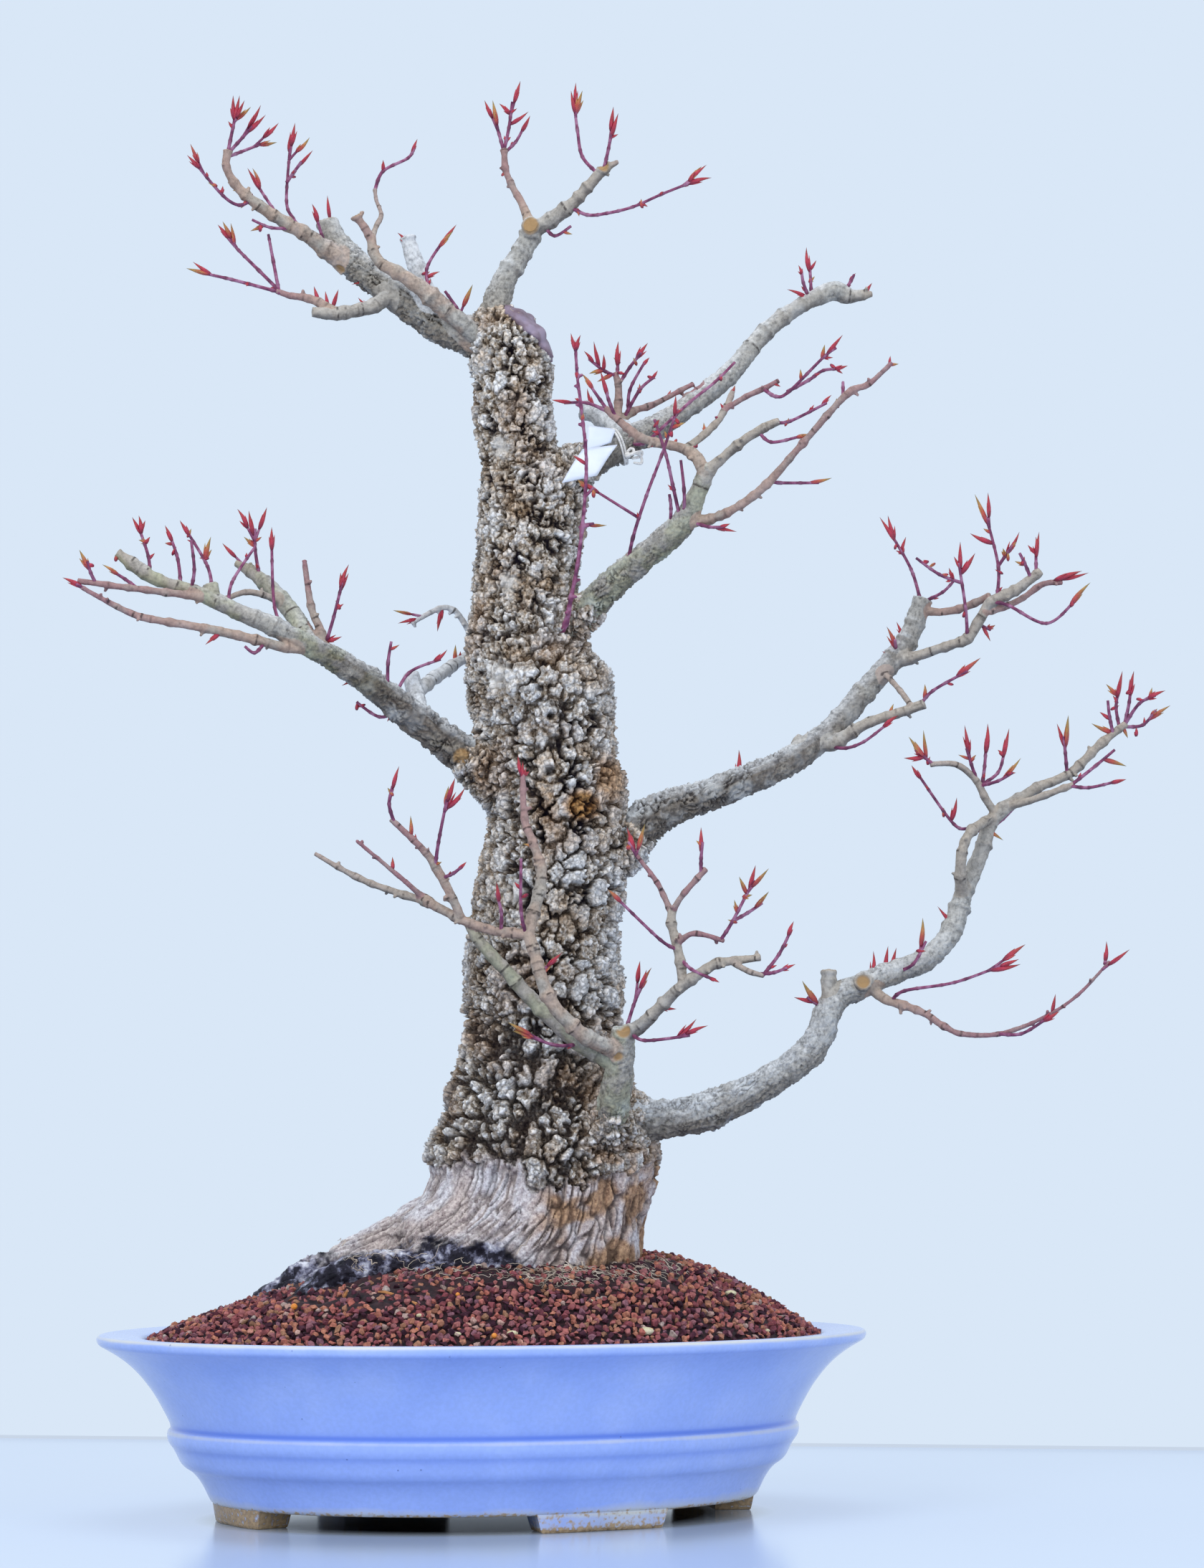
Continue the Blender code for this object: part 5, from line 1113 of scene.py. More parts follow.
def bark_at(p):
    """How far the bark stands out at a point of the trunk, and the values that its look reads."""
    x, z = p.x - POT_X, p.z
    sway = noise.noise_vector(p / 11) * 3.4
    cork_push, cleft, tint, cork, crumple, fine = cork_at(p, x, sway, noise.noise(p / 24))
    foot_push, foot_line, collar, crack_rust = foot_at(p, x, sway, crumple, fine)
    push = (cork_push + 1.2) * cork + foot_push * (1 - cork)
    # clefts and crumpled hollows are darker where the relief sinks: the clefts' own dark bark together with painted
    # shade
    line = max(cleft, .6 * rise(.75, 1.25, crumple)) * cork + (1 - cork) * foot_line
    lichen = 0
    if p.y < 8:
        for spot_x, spot_z, size in LICHEN:
            away = math.hypot(x - spot_x, (z - spot_z) * .8)
            lichen = max(lichen, .7 * rise(size, size * .2, away + 5 * fine))
        for spot_x, spot_z, size in KNOTS:
            away = math.hypot(x - spot_x, z - spot_z)
            if away < size * 3:
                push += 2.2 * rise(size * 2.4, size * 1.3, away) - 5 * rise(size * 1.1, size * .3, away)
                # knot holes turn dark as painted shade in the hole
                line = max(line * rise(size, size * 1.8, away), .85 * rise(size * 1.1, size * .4, away))
    for spot_x, spot_z, size in BURLS:
        away = math.hypot(x - spot_x, z - spot_z)
        if away < size * 1.5 and p.y < 20:
            push += 1.8 * rise(size * 1.4, size * .3, away)
    push = push * (1 - .75 * lichen)
    line = line * (1 - .8 * lichen)
    peat_line = (154 + 12 * rise(-70, -34, x) - 15 * rise(2, 30, x) + 6 * noise.noise(p / 9)
                 - p.y * .1 * rise(-40, -60, x) + 3 * fine)
    wet = rise(peat_line + 2, peat_line - 5, z)
    cloud = noise.fractal(p / 22 + Vector((5, 1, 0)), 1, 2, 3)
    rust = max(.85 * rise(-.3, .3, cloud) * (1 - cork) * rise(14, 44, x), crack_rust * (1 - cork),
               rise(14, 6, math.hypot(x - 56, z - 424)), .8 * rise(14, 4, math.hypot(x - 72, (z - 440) * .6)),
               .55 * collar * rise(-.3, .3, noise.noise(p / 7)), .35 * rise(.1, .5, noise.noise(p / 30)))
    push = push * (1 - .5 * wet) + wet * (5 * noise.noise(Vector((p.x * .45, p.y, p.z)) / 9) + .6 * fine)
    return push, (min(line, 1), tint, cork, wet, lichen, rust)


def trunk_relief(mesh, amount):
    """Raises cork plates and knots, opens clefts and cracks, and stores what the bark's look reads."""
    rows, normals = corners(mesh) / MM, corners(mesh, "normal")
    moved, marks = np.empty_like(rows), []
    for i, (place, normal) in enumerate(zip(rows, normals)):
        p = Vector(place)
        push, values = bark_at(p)
        moved[i] = p + Vector(normal) * (push * amount)
        marks.append(values)
    settled_rows(mesh, moved, **dict(zip(BARK_VALUES, zip(*marks))))


def make_wound_paste(trunk, look):
    """The brown-violet layer that closed the big cut at the trunk's top, proud of the bark round it."""
    shape = bmesh.new()
    shape.from_mesh(trunk)

    def covered(spot):
        p = spot / MM
        x, z = p.x - POT_X, p.z
        edge = 723 - 1.0 * max(x - 12, 0) + 1.6 * noise.noise(p / 8)
        return z > edge - (.5 if p.y < 0 else 3) and 8 < x < 40 and z > 696

    doomed = [f for f in shape.faces if not covered(f.calc_center_median())]
    bmesh.ops.delete(shape, geom=doomed, context="FACES")
    for _ in range(22):
        bmesh.ops.smooth_vert(shape, verts=shape.verts, factor=.5, use_axis_x=True, use_axis_y=True, use_axis_z=True)
    shape.normal_update()
    made = bpy.data.meshes.new("wound_paste_layer")
    shape.to_mesh(made)
    shape.free()
    for name in BARK_VALUES:
        made.attributes.remove(made.attributes[name])
    item = add_piece("wound_paste_layer", made, [look], ["wound_paste"])
    layer = item.modifiers.new("layer", "SOLIDIFY")
    layer.thickness = 3.0 * MM
    layer.offset = 0.4
    soft = item.modifiers.new("soft", "SMOOTH")
    soft.iterations = 3
    settle(item)


# ---------------------------------------------------------------- limbs

def limb_runs(runs):
    """Eased wood runs and twig runs of a limb."""
    wood = [eased([lifted(*p[:3]) for p in run], [p[3] for p in run], 1.5) for run in runs["wood"]]
    twigs = []
    for run in runs["twigs"]:
        points = [lifted(*p) for p in run]
        twigs.append(eased(points, [1.15 - .3 * i / (len(points) - 1) for i in range(len(points))], 1.5))
    return wood, twigs


def is_node(marked, i, radius):
    """Whether a run has a node there: at the points that were given, and every centimetre or so where thin."""
    return marked or i % 7 == 3 and radius < 4.5


def limb_form(name, wood, rng):
    """The limb's wood grown into one skin, with swollen nodes and short spurs."""
    strokes = Strokes()
    for points, radii, mark in wood:
        ringed = list(radii)
        nodes = [is_node(marked, i, radii[i]) and radii[i] < 7 for i, marked in enumerate(mark)]
        for i, node in enumerate(nodes):
            knot = rng.uniform(-.3, 1) if node else 0
            for k in (-1, 0, 1):
                if knot > 0 and 0 <= i + k < len(ringed):
                    ringed[i + k] *= 1 + (.26 if k == 0 else .12) * knot
        # a thin run is a little slimmer than its solid
        ringed = [r * (.84 + .16 * rise(1.5, 4.5, r)) for r in ringed]
        strokes.tube(points, ringed, 14)
        for i, node in enumerate(nodes):
            # spurs are left where side shoots have dropped
            if node and radii[i] < 4 and 2 < i < len(points) - 2 and rng.random() < .4:
                ahead = (points[i + 1] - points[i - 1]).normalized()
                tip = points[i] + (turned_side(ahead, rng) + ahead * .35) * (radii[i] + rng.uniform(1.2, 2.8))
                strokes.tube([points[i], points[i].lerp(tip, .6), tip], [1.2, 1.1, .9], 10)
    return skinned(strokes.mesh(name), .62, 3)


def wood_points(name, wood, rng):
    """Every point of the wood's runs with its radius, direction, ring and tone, and a tree that finds the nearest."""
    found = []
    for (points, radii, mark), tone in zip(wood, TONES[name]):
        for i, point in enumerate(points):
            flow = (points[min(i + 1, len(points) - 1)] - points[max(i - 1, 0)]).normalized()
            ring = rng.choice((.15, .4, .8)) if is_node(mark[i], i, radii[i]) and radii[i] < 6 else 0
            found.append((point, radii[i], flow, ring, tone))
    tree = KDTree(len(found))
    places, thick = np.array([row[0] for row in found]), np.array([row[1] for row in found])
    for index, (spot, girth, *rest) in enumerate(found):
        # a run's foot inside thicker wood has no say in the skin over it
        away = np.linalg.norm(places - places[index], axis=1)
        if not np.any((thick > girth * 1.25) & (away < thick - girth * .3)):
            tree.insert(spot, index)
    tree.balance()
    return found, tree


def limb_wood(name, wood, look):
    """The limb's wood in one skin, with ringed joints, cracked bark where thick, and its old cuts."""
    rng = random.Random(name)
    mesh = limb_form(name, wood, rng)
    run_points, tree = wood_points(name, wood, rng)
    rows, normals = corners(mesh) / MM, corners(mesh, "normal")
    found = {key: [] for key in ("girth", "green", "peach", "dark", "purple", "white", "cleft", "cut")}
    scars = [(lifted(*s[:3]), s[3]) for s in SCARS.get(name, [])]
    moved = np.empty_like(rows)
    for i, (place, normal) in enumerate(zip(rows, normals)):
        p, lift = Vector(place), normal[2]
        near, index, away = tree.find(p)
        spot, girth, flow, ring, tone = run_points[index]
        silver = tone == "s"
        old = rise(6.0, 11.0, girth + 2.5 * noise.noise(p / 20)) * (.65 if silver else 1)
        # plates and cracks are drawn out along the limb
        bend = noise.noise_vector(p / 4) * 1.8
        rough = noise.voronoi((p + bend - flow * ((p + bend).dot(flow) * .6)) / 4.2)
        edge = rough[0][1] - rough[0][0]
        cleft = rise({"m": .25, "d": .19}.get(tone, .13), .02, edge) * old * rise(-.3, .3, noise.noise(p / 9))
        wrinkle = noise.turbulence((p - flow * (p.dot(flow) * .78)) / 2.6, 3, True)
        push = (old * (1.1 * rise(0, .5, edge) - 1.9 * cleft - .8)
                + (.15 + 1.1 * rise(2.5, 9, girth)) * (.6 - wrinkle) + .13 * girth * noise.noise(p / 6)
                + (.12 + .3 * rise(2, 8, girth)) * noise.noise(p / 2))
        cut = 0
        for scar, size in scars:
            gone = (p - scar).length
            if gone < size * 1.6:
                cut = max(cut, rise(size * 1.05, size * .75, gone))
                push += .9 * rise(size * 1.5, size * 1.1, gone) * (1 - cut) - .8 * cut
        moved[i] = p + Vector(normal) * push
        ring *= rise(.9, .4, abs((p - near).dot(flow))) * rise(-.3, .2, noise.noise(p / 3))
        crusted = tone in "dm" and rise(5, 8, girth) * (1.25 if tone == "m" else 1)
        # painted shade: the bark darkens the more it faces down
        painted_underside_shade = (.75 if silver else .95) * rise(0, -.8, lift)
        # white bark keeps its own white; elsewhere faces that look up are whitened as painted light
        if tone == "w":
            white = 1
        elif silver:
            white = rise(-.6, .8, lift) * rise(4, 10, girth)
        else:
            white = .75 * rise(.1, .9, lift) * rise(3, 6, girth)
        # the cleft share darkens cracks, rings and the wrinkles' hollows, the last partly as painted shade
        values = dict(
            girth=girth / 12, green=tone == "n" or tone == "m" and rise(9.5, 7, girth), peach=tone == "p",
            dark=max(crusted, painted_underside_shade), purple=tone == "r" or tone == "p" and .8 * rise(3.6, 1.4, girth), white=white,
            cleft=min(1, max(.9 * cleft, ring, rise(.65, 1.15, wrinkle) * (.3 + .5 * old))), cut=cut)
        for key, value in values.items():
            found[key].append(value)
    settled_rows(mesh, moved, **found)
    add_piece(name + "_wood", mesh, [look], [name])


def bud(strokes, foot, tip, width, tint, rng):
    """A pointed bud with two scales round its foot."""
    axis = tip - foot
    length = axis.length
    side = turned_side(axis.normalized(), rng)
    bend = side * (length * rng.uniform(-.06, .06))
    shares = (0, .1, .25, .42, .6, .78, .92, 1)
    widths = (.45, .8, 1, .96, .74, .44, .17, .03)
    points = [foot + axis * s + bend * math.sin(math.pi * s) for s in shares]
    strokes.tube(points, [width * w for w in widths], 8, look=1, flat=.8, along=list(shares), tint=tint, ring=0.0)
    spread = rng.choice((.9, 1.3, 2.4))
    for half in (-width * .55, width * .55):
        lean = side * half
        reach = rng.uniform(.45, .7)
        scale = [foot + axis * (s * reach) + lean * (.35 + spread * s) for s in (0, .35, .7, 1)]
        strokes.tube(scale, [width * w for w in (.4, .66, .46, .06)], 6, look=1, flat=.6,
                     along=[0, .3, .6, .9], tint=tint, ring=0.0)


def flat_spot(point):
    """Where a point shows in the tree's own frame, seen from the front."""
    fan = FAN_FROM / (FAN_FROM + point.y)
    return FAN_X + (point.x - POT_X - FAN_X) * fan, FAN_Z + (point.z - FAN_Z) * fan


def limb_shoots(name, wood, twigs, looks, plump):
    """The limb's twigs and buds."""
    strokes = Strokes("ring", "along", "tint")
    rng = random.Random(name + "buds")
    marks = [(i, points) for points, radii, mark in wood + twigs for i in range(len(points))]
    for points, radii, mark in twigs:
        rings = [0.0] * len(points)
        for i, marked in enumerate(mark):
            if marked or (i % 9 == 5 and i < len(points) - 3):
                radii[i] *= 1.25
                rings[i] = .35
        strokes.tube(points, radii, 8, ring=rings)
    tree = KDTree(len(marks))
    for number, (i, points) in enumerate(marks):
        x, z = flat_spot(points[i])
        tree.insert((x, 0, z), number)
    tree.balance()
    # the buds on the right have swollen most
    ripe = 1.4 if name in ("right_limb", "low_right_limb") else 1.1
    for x, z in BUDS[name]:
        near, number, away = tree.find((x, 0, z))
        i, points = marks[number]
        foot = points[max(0, i - round(min(away, 12) * .8 / 1.5))]
        tip = lifted(x, points[i].y + rng.uniform(-.55, .55) * min(away, 8), z)
        reach = (tip - foot).length
        length = min(reach, rng.uniform(11, 15) * ripe)
        if reach < 5:
            foot = tip - (tip - foot).normalized() * 6 if reach > .5 else tip - Vector((0, 0, 7))
            length = 6
        start = tip - (tip - foot).normalized() * length
        if reach > length + 1:
            strokes.tube([foot, (foot + start) / 2, start], [1.0, .85, .8], 8, ring=0.0)
        width = (.95 + .04 * length) * rng.uniform(.85, 1.1) * plump
        bud(strokes, start, tip, width, rng.random(), rng)
    # a bud ends each twig that has none yet
    for points, radii, mark in twigs:
        end = points[-1]
        ahead = (end - points[-2]).normalized()
        end_x, end_z = flat_spot(end)
        if any(math.hypot(x - end_x, z - end_z) < 12 for x, z in BUDS[name]):
            continue
        bud(strokes, end - ahead * .8, end + ahead * rng.uniform(8, 12), 1.5 * plump, rng.random(), rng)
    # opposite pairs of small side buds along the twigs
    for points, radii, mark in twigs:
        for i in range(5, len(points) - 5, 9):
            ahead = (points[i + 1] - points[i - 1]).normalized()
            side = turned_side(ahead, rng)
            for way in (-side, side):
                if rng.random() < .14:
                    out = (way * .75 + ahead).normalized()
                    bud(strokes, points[i] + way * .5, points[i] + out * rng.uniform(3.2, 5.2),
                        rng.uniform(.75, 1.0) * plump, rng.random() * .6, rng)
    add_piece(name + "_shoots", strokes.mesh(name), looks, [])

# ---------------------------------------------------------------- soil

def soil_form(mound):
    """The mound's surface as a fine, lumpy sheet, closed underneath."""
    steps, rings = ((200, 80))
    verts = []
    reach = SPAN - 28.6
    for j in range(rings + 1):
        share = 1 - j / rings
        for i in range(steps):
            turn = FULL_TURN * i / steps
            spot = pot_place() @ Vector((reach * share * math.cos(turn), reach * SQUASH * share * math.sin(turn), 0))
            hit, normal = ground_under(mound, spot.x, spot.y)
            hit = hit or Vector((spot.x, spot.y, 105))
            wet = peat_share(hit)
            lump = noise.fractal(spot / 9, 1, 2, 3) * (1.1 + 1.6 * wet) + 1.5 * wet
            verts.append(hit + Vector((0, 0, lump - 1.6)))
    start = len(verts)
    verts += [Vector((v.x, v.y, 96)) for v in verts[:steps]]
    faces = ring_faces(rings, steps)
    for i in range(steps):
        j = (i + 1) % steps
        faces.append((start + i, start + j, j, i))
    faces.append(tuple(reversed(range(start, start + steps))))
    mesh = mesh_of("soil_bed", verts, faces)
    shape = bmesh.new()
    shape.from_mesh(mesh)
    bmesh.ops.remove_doubles(shape, verts=shape.verts, dist=1e-6)
    shape.to_mesh(mesh)
    shape.free()
    return mesh


def peat_share(spot):
    """1 in the bare wet peat round the trunk's front, 0 out in the granules."""
    x = spot.x - POT_X
    edge = 128 + 10 * rise(-50, 0, x) + 5 * noise.noise(spot / 11) + (30 if x > 118 or spot.y > 30 else 0)
    return rise(edge - 2, edge + 1.5, spot.z)


def make_granules(name, mound, count, sizes, look, seed):
    """Sieved granules that lie at random over the mound, as one piece."""
    rng = np.random.default_rng(seed)
    shapes = []
    for _ in range(10):
        shape = bmesh.new()
        for _ in range(13):
            way = Vector(rng.normal(size=3)).normalized()
            shape.verts.new(Vector([way[a] * (1, .92, .82)[a] for a in range(3)]) * rng.uniform(.88, 1.05))
        hull = bmesh.ops.convex_hull(shape, input=shape.verts)
        loose = list({g for g in hull["geom_interior"] + hull["geom_unused"] if isinstance(g, bmesh.types.BMVert)})
        bmesh.ops.delete(shape, geom=loose, context="VERTS")
        shape.verts.index_update()
        shapes.append((np.array([v.co for v in shape.verts]), [[v.index for v in f.verts] for f in shape.faces]))
        shape.free()
    verts, faces, tints, grid = [], [], [], {}
    reach = SPAN - 30.5
    start = laid = tries = 0
    while laid < count and tries < count * 14:
        tries += 1
        share, turn = math.sqrt(rng.random()), rng.random() * 2 * math.pi
        spot = pot_place() @ Vector((reach * share * math.cos(turn), reach * SQUASH * share * math.sin(turn), 0))
        size = rng.uniform(*sizes) / 2
        hit, normal = ground_under(mound, spot.x, spot.y)
        if not hit or hit.z < 104 or rng.random() < peat_share(hit) * .95:
            continue
        cell = (int(spot.x // 5), int(spot.y // 5))
        near = [o for dx in (-1, 0, 1) for dy in (-1, 0, 1) for o in grid.get((cell[0] + dx, cell[1] + dy), [])]
        if any(math.hypot(spot.x - ox, spot.y - oy) < (size + osize) * .7 for ox, oy, osize in near):
            continue
        grid.setdefault(cell, []).append((spot.x, spot.y, size))
        form, outline = shapes[int(rng.integers(len(shapes)))]
        tumble = Matrix.Rotation(rng.random() * 6.28, 3, Vector(rng.normal(size=3)).normalized())
        z = hit.z + rng.uniform(-.9, 1.2)
        placed = (form * size * rng.uniform(.85, 1.2, 3)) @ np.array(tumble).T + np.array((spot.x, spot.y, z))
        verts.append(placed)
        faces += [[start + k for k in f] for f in outline]
        tints += [float(rng.random())] * len(placed)
        start += len(placed)
        laid += 1
    mesh = bpy.data.meshes.new(name)
    mesh.from_pydata((np.concatenate(verts) * MM).tolist(), [], faces)
    set_value(mesh, "tint", tints)
    add_piece(name, mesh, [look], [], smooth=False)


# ---------------------------------------------------------------- label

def label_frame():
    """Middle of the limb where the tie goes round it, its radius, and its directions."""
    here, after = UPPER_RIGHT_BACK["wood"][0][3:5]
    middle = lifted(*here[:3])
    along = (lifted(*after[:3]) - middle).normalized()
    front = Vector((0, -1, 0))
    front = (front - along * front.dot(along)).normalized()
    return middle, here[3], along, front, front.cross(along)


def make_label(look):
    """A card folded round its tie: the front leaf lies over the limb, and the back leaf shows over it."""
    middle, radius, along, front, up = label_frame()
    lean = math.radians(25)
    facing = front * math.cos(lean) + up * math.sin(lean)
    rise_way = facing.cross(along)
    seat = middle + facing * (radius + 1.6)
    verts, faces, cells = [], [], 8
    # corners of each leaf: along the limb, up across it and out from it
    for leaf in ([(-49, -18, 8), (-26, -22, 4), (-2, -7, 1.5), (-22, 1, 2)],
                 [(-21, -1, 1), (-4, -3, .6), (5, 5, -1), (-8, 17.5, -2)]):
        start = len(verts)
        a, b, c, d = [seat + along * x + rise_way * z + facing * out for x, z, out in leaf]
        for i in range(cells + 1):
            for k in range(cells + 1):
                flat = a.lerp(b, i / cells).lerp(d.lerp(c, i / cells), k / cells)
                verts.append(flat + facing * 1.4 * math.sin(math.pi * k / cells))
        for i in range(cells):
            for k in range(cells):
                corner = start + i * (cells + 1) + k
                faces.append((corner, corner + cells + 1, corner + cells + 2, corner + 1))
    item = add_piece("label_card", mesh_of("label_card", verts, faces), [look], ["label"])
    thick = item.modifiers.new("thick", "SOLIDIFY")
    thick.thickness = 0.5 * MM
    settle(item)


def make_tie(look):
    """Thick soft cotton cord: two turns round the limb, and a loose knot with two ends."""
    middle, radius, along, front, up = label_frame()
    strokes = Strokes()
    count = 96
    for shift, out in ((1.5, 1.4), (3.2, 1.6)):
        ring = []
        for i in range(count + 1):
            a = FULL_TURN * i / count
            ring.append(middle + along * (shift + .8 * math.sin(2 * a))
                        + (front * math.cos(a) + up * math.sin(a)) * (radius + out + .4 * math.sin(3 * a)))
        strokes.tube(ring, [.7] * len(ring), 10)
    knot = middle + front * (radius + 1) - up * 9 + along * 2
    for reach, drop in ((9, -4), (7, -8), (5, 3)):
        loop = [knot, knot + along * reach * .5 + front * 2.5 - up * 1, knot + along * reach + up * drop * .5,
                knot + along * reach * .8 + up * drop - front * 1,
                knot + along * reach * .2 + up * drop * .7 - front * 1]
        points, radii, mark = eased(loop, [.9, .9, .9, .9, .7], .8)
        strokes.tube(points, radii, 10)
    strokes.blob(knot, (2.2, 2, 2))
    add_piece("tie_cord", strokes.mesh("tie_cord"), [look], ["label_tie"])


# ---------------------------------------------------------------- what lies on the soil

def make_fine_roots(trees, look):
    """Fine pale roots that lie over the wet peat round the trunk's foot."""
    strokes = Strokes("tint")
    rng = random.Random(41)
    for _ in range(190):
        x = rng.choice((rng.uniform(-95, 60), rng.uniform(10, 130), rng.uniform(20, 120)))
        z = 146 + rng.uniform(-8, 14) if x < 20 else 144 + rng.uniform(-6, 8)
        hits = [h for h in (seen_spot(t, x, z) for t in trees) if h[0]]
        if not hits:
            continue
        spot, normal = min(hits, key=lambda h: (h[0] - EYE).length)
        heading = rng.uniform(-.5, .5) + (math.pi if rng.random() < .5 else 0)
        points = [spot + normal * .3]
        height = .5
        for _ in range(rng.randint(5, 18)):
            heading += rng.uniform(-1, 1)
            ahead = Vector((math.cos(heading), .5 * math.sin(heading) - .1, 0))
            here = points[-1] + ahead * 1.8
            found = [g for g in (ground_under(t, here.x, here.y) for t in trees) if g[0] and g[0].z < 178]
            if not found:
                break
            base = max(g[0].z for g in found)
            height = min(3.5, max(.2, height + rng.uniform(-.9, .9)))
            if abs(base + height - points[-1].z) > 4:
                break
            points.append(Vector((here.x, here.y, base + height)))
        if len(points) < 4:
            continue
        thick = rng.choice((.18, .24, .3, .42))
        line, radii, mark = eased(points, [thick * (1 - .6 * k / len(points)) for k in range(len(points))], 1.0)
        strokes.tube(line, radii, 5, tint=rng.random())
    add_piece("fine_roots", strokes.mesh("fine_roots"), [look], [])


def make_scattered(tree, looks):
    """Fertiliser pellets, pumice chips and bits of wood on the soil."""
    strokes = Strokes("tint")
    for x, z, size in ((-18, 130, 1.7), (4, 104.5, 2.2), (-115, 122, 2.6), (-42, 109, 1.5), (98, 109, 1.5),
                       (20, 141, 1)):
        spot, normal = seen_spot(tree, x, z)
        if spot:
            size *= .8
            strokes.blob(spot + normal * size * 1.4, (size, size * .95, size * .95), look=0)
    for x, z, size in ((95, 108, 3.6), (15, 107, 2.6), (146, 131, 2.8), (-40, 118, 2), (167, 109, 2), (-18, 107, 1.8),
                       (62, 127, 1.4), (-150, 114, 1.6)):
        spot, normal = seen_spot(tree, x, z)
        if spot:
            strokes.blob(spot + normal * size * .5, (size * 1.3, size, size * .7), look=1)
    for x, z, long, lean in ((-42, 124, 8, -.6), (119, 125, 9, 1.5), (-192, 117, 9, -1), (-85, 130, 6, 1.2),
                             (-60, 131, 11, -.15), (-18, 161, 9, -.75), (2, 158, 7, -1.2)):
        spot, normal = seen_spot(tree, x, z)
        if spot:
            half = Vector((math.cos(lean), .2, math.sin(lean))) * long / 2
            middle = spot + normal * 1.4
            strokes.tube([middle - half, middle - half * .3 + normal * .5, middle + half * .4, middle + half],
                         [.5, 1.1, 1.0, .3], 6, look=2, flat=.6)
    add_piece("scattered_bits", strokes.mesh("scattered_bits"), looks, [], smooth=False)


# ---------------------------------------------------------------- stage

# The table's corners in metres, its back edge running askew, and the height of that edge's glowing strip, a painted
# highlight
TABLE_FRONT = [Vector((-1.8, -1.5, 0)), Vector((1.8, -1.5, 0))]
TABLE_BACK = [Vector((1.8, .337, 0)), Vector((-1.8, .863, 0))]
EDGE_STRIP = Vector((0, 0, .0024))


def sheet(name, places, look):
    """A flat four-cornered sheet of one material, in metres."""
    mesh = bpy.data.meshes.new(name)
    mesh.from_pydata(places, [], [(0, 1, 2, 3)])
    mesh.materials.append(look)
    item = bpy.data.objects.new(name, mesh)
    bpy.context.scene.collection.objects.link(item)
    return item


def lacquered_board_painted_shadow_and_glow(settings):
    """The table's pale lacquer, painted near black under the pot as its shadow, with a faint painted glow round it.
    """
    board, tree, shader, place = start_material("lacquered_board_painted_shadow_and_glow", Roughness=0.16, Specular_IOR_Level=0.4)
    # painted glow: the board gives off a faint light in the table's colour, which lightens the shade round the pot
    shader.inputs["Emission Color"].default_value = linear(settings.table)
    # painted shadow: within an oval under the pot's base the board turns near black and stops glowing
    under = add_node(tree, "ShaderNodeMapping", {"Vector": place}, vector_type="TEXTURE",
                     Location=(POT_X * MM, 0, 0), Rotation=(0, 0, math.radians(POT_TURN)), Scale=(1, SQUASH, 1))
    away = add_node(tree, "ShaderNodeVectorMath", {0: under.outputs[0]}, operation="LENGTH")
    outside_painted_shadow = add_node(tree, "ShaderNodeMapRange", {"Value": away.outputs["Value"]}, From_Min=0.135, From_Max=0.18)
    shaded = add_node(tree, "ShaderNodeMix", {0: outside_painted_shadow.outputs[0]}, data_type="RGBA", i6=linear("#07070C"),
                      i7=linear("#A9BAD2"))
    tree.links.new(shaded.outputs[2], shader.inputs["Base Color"])
    painted_glow = add_node(tree, "ShaderNodeMath", {0: outside_painted_shadow.outputs[0]}, operation="MULTIPLY", i1=0.13)
    tree.links.new(painted_glow.outputs[0], shader.inputs["Emission Strength"])
    return board


def glowing_edge_painted_highlight():
    """The table's far edge: a thin black strip that glows pale blue, a painted highlight where the edge catches the
    light.
    """
    rim, tree, shader, place = start_material("board_edge_painted_highlight", Roughness=1.0, Specular_IOR_Level=0.0,
                                              Emission_Strength=1.0)
    shader.inputs["Base Color"].default_value = (0, 0, 0, 1)
    shader.inputs["Emission Color"].default_value = linear("#C9D6E7")
    return rim


def make_lights(settings):
    """Soft lights, and the even light and pale surroundings of the world."""
    for name, spot, aim, size, power, colour in (
            ("key_softbox", (-1.5, -2.3, 2.0), (0, 0, .4), 1.5, settings.key_power, "#FFFDFA"),
            ("fill_softbox", (2.0, -1.9, 1.3), (0, 0, .4), 1.6, settings.key_power * .45, "#F4F8FF"),
            ("low_softbox", (.3, -2.6, .5), (-.1, 0, .1), 1.2, settings.key_power * .3, "#F4F8FF"),
            ("top_softbox", (0, .1, 2.4), (0, 0, .3), 1.6, settings.key_power * .5, "#F7FAFF")):
        light = bpy.data.lights.new(name, "AREA")
        light.shape = "DISK"
        light.size = size
        light.energy = power
        light.color = linear(colour)[:3]
        lamp = bpy.data.objects.new(name, light)
        lamp.location = spot
        lamp.visible_glossy = False
        lamp.rotation_euler = (Vector(aim) - Vector(spot)).to_track_quat("-Z", "Y").to_euler()
        bpy.context.scene.collection.objects.link(lamp)
    world = bpy.data.worlds.new("soft_daylight")
    world.use_nodes = True
    tree = world.node_tree
    sky = tree.nodes["Background"]
    sky.inputs["Color"].default_value = linear("#E9F2FF")
    sky.inputs["Strength"].default_value = settings.sky
    # the pale surroundings that are seen and mirrored are brighter than the light that they shed
    paper = add_node(tree, "ShaderNodeBackground", Color=linear(settings.backdrop), Strength=1.0)
    path = add_node(tree, "ShaderNodeLightPath")
    seen = add_node(tree, "ShaderNodeMath", {0: path.outputs["Is Camera Ray"], 1: path.outputs["Is Glossy Ray"]},
                    operation="MAXIMUM")
    both = add_node(tree, "ShaderNodeMixShader", {0: seen.outputs[0], 1: sky.outputs[0], 2: paper.outputs[0]})
    tree.links.new(both.outputs[0], tree.nodes["World Output"].inputs["Surface"])
    bpy.context.scene.world = world


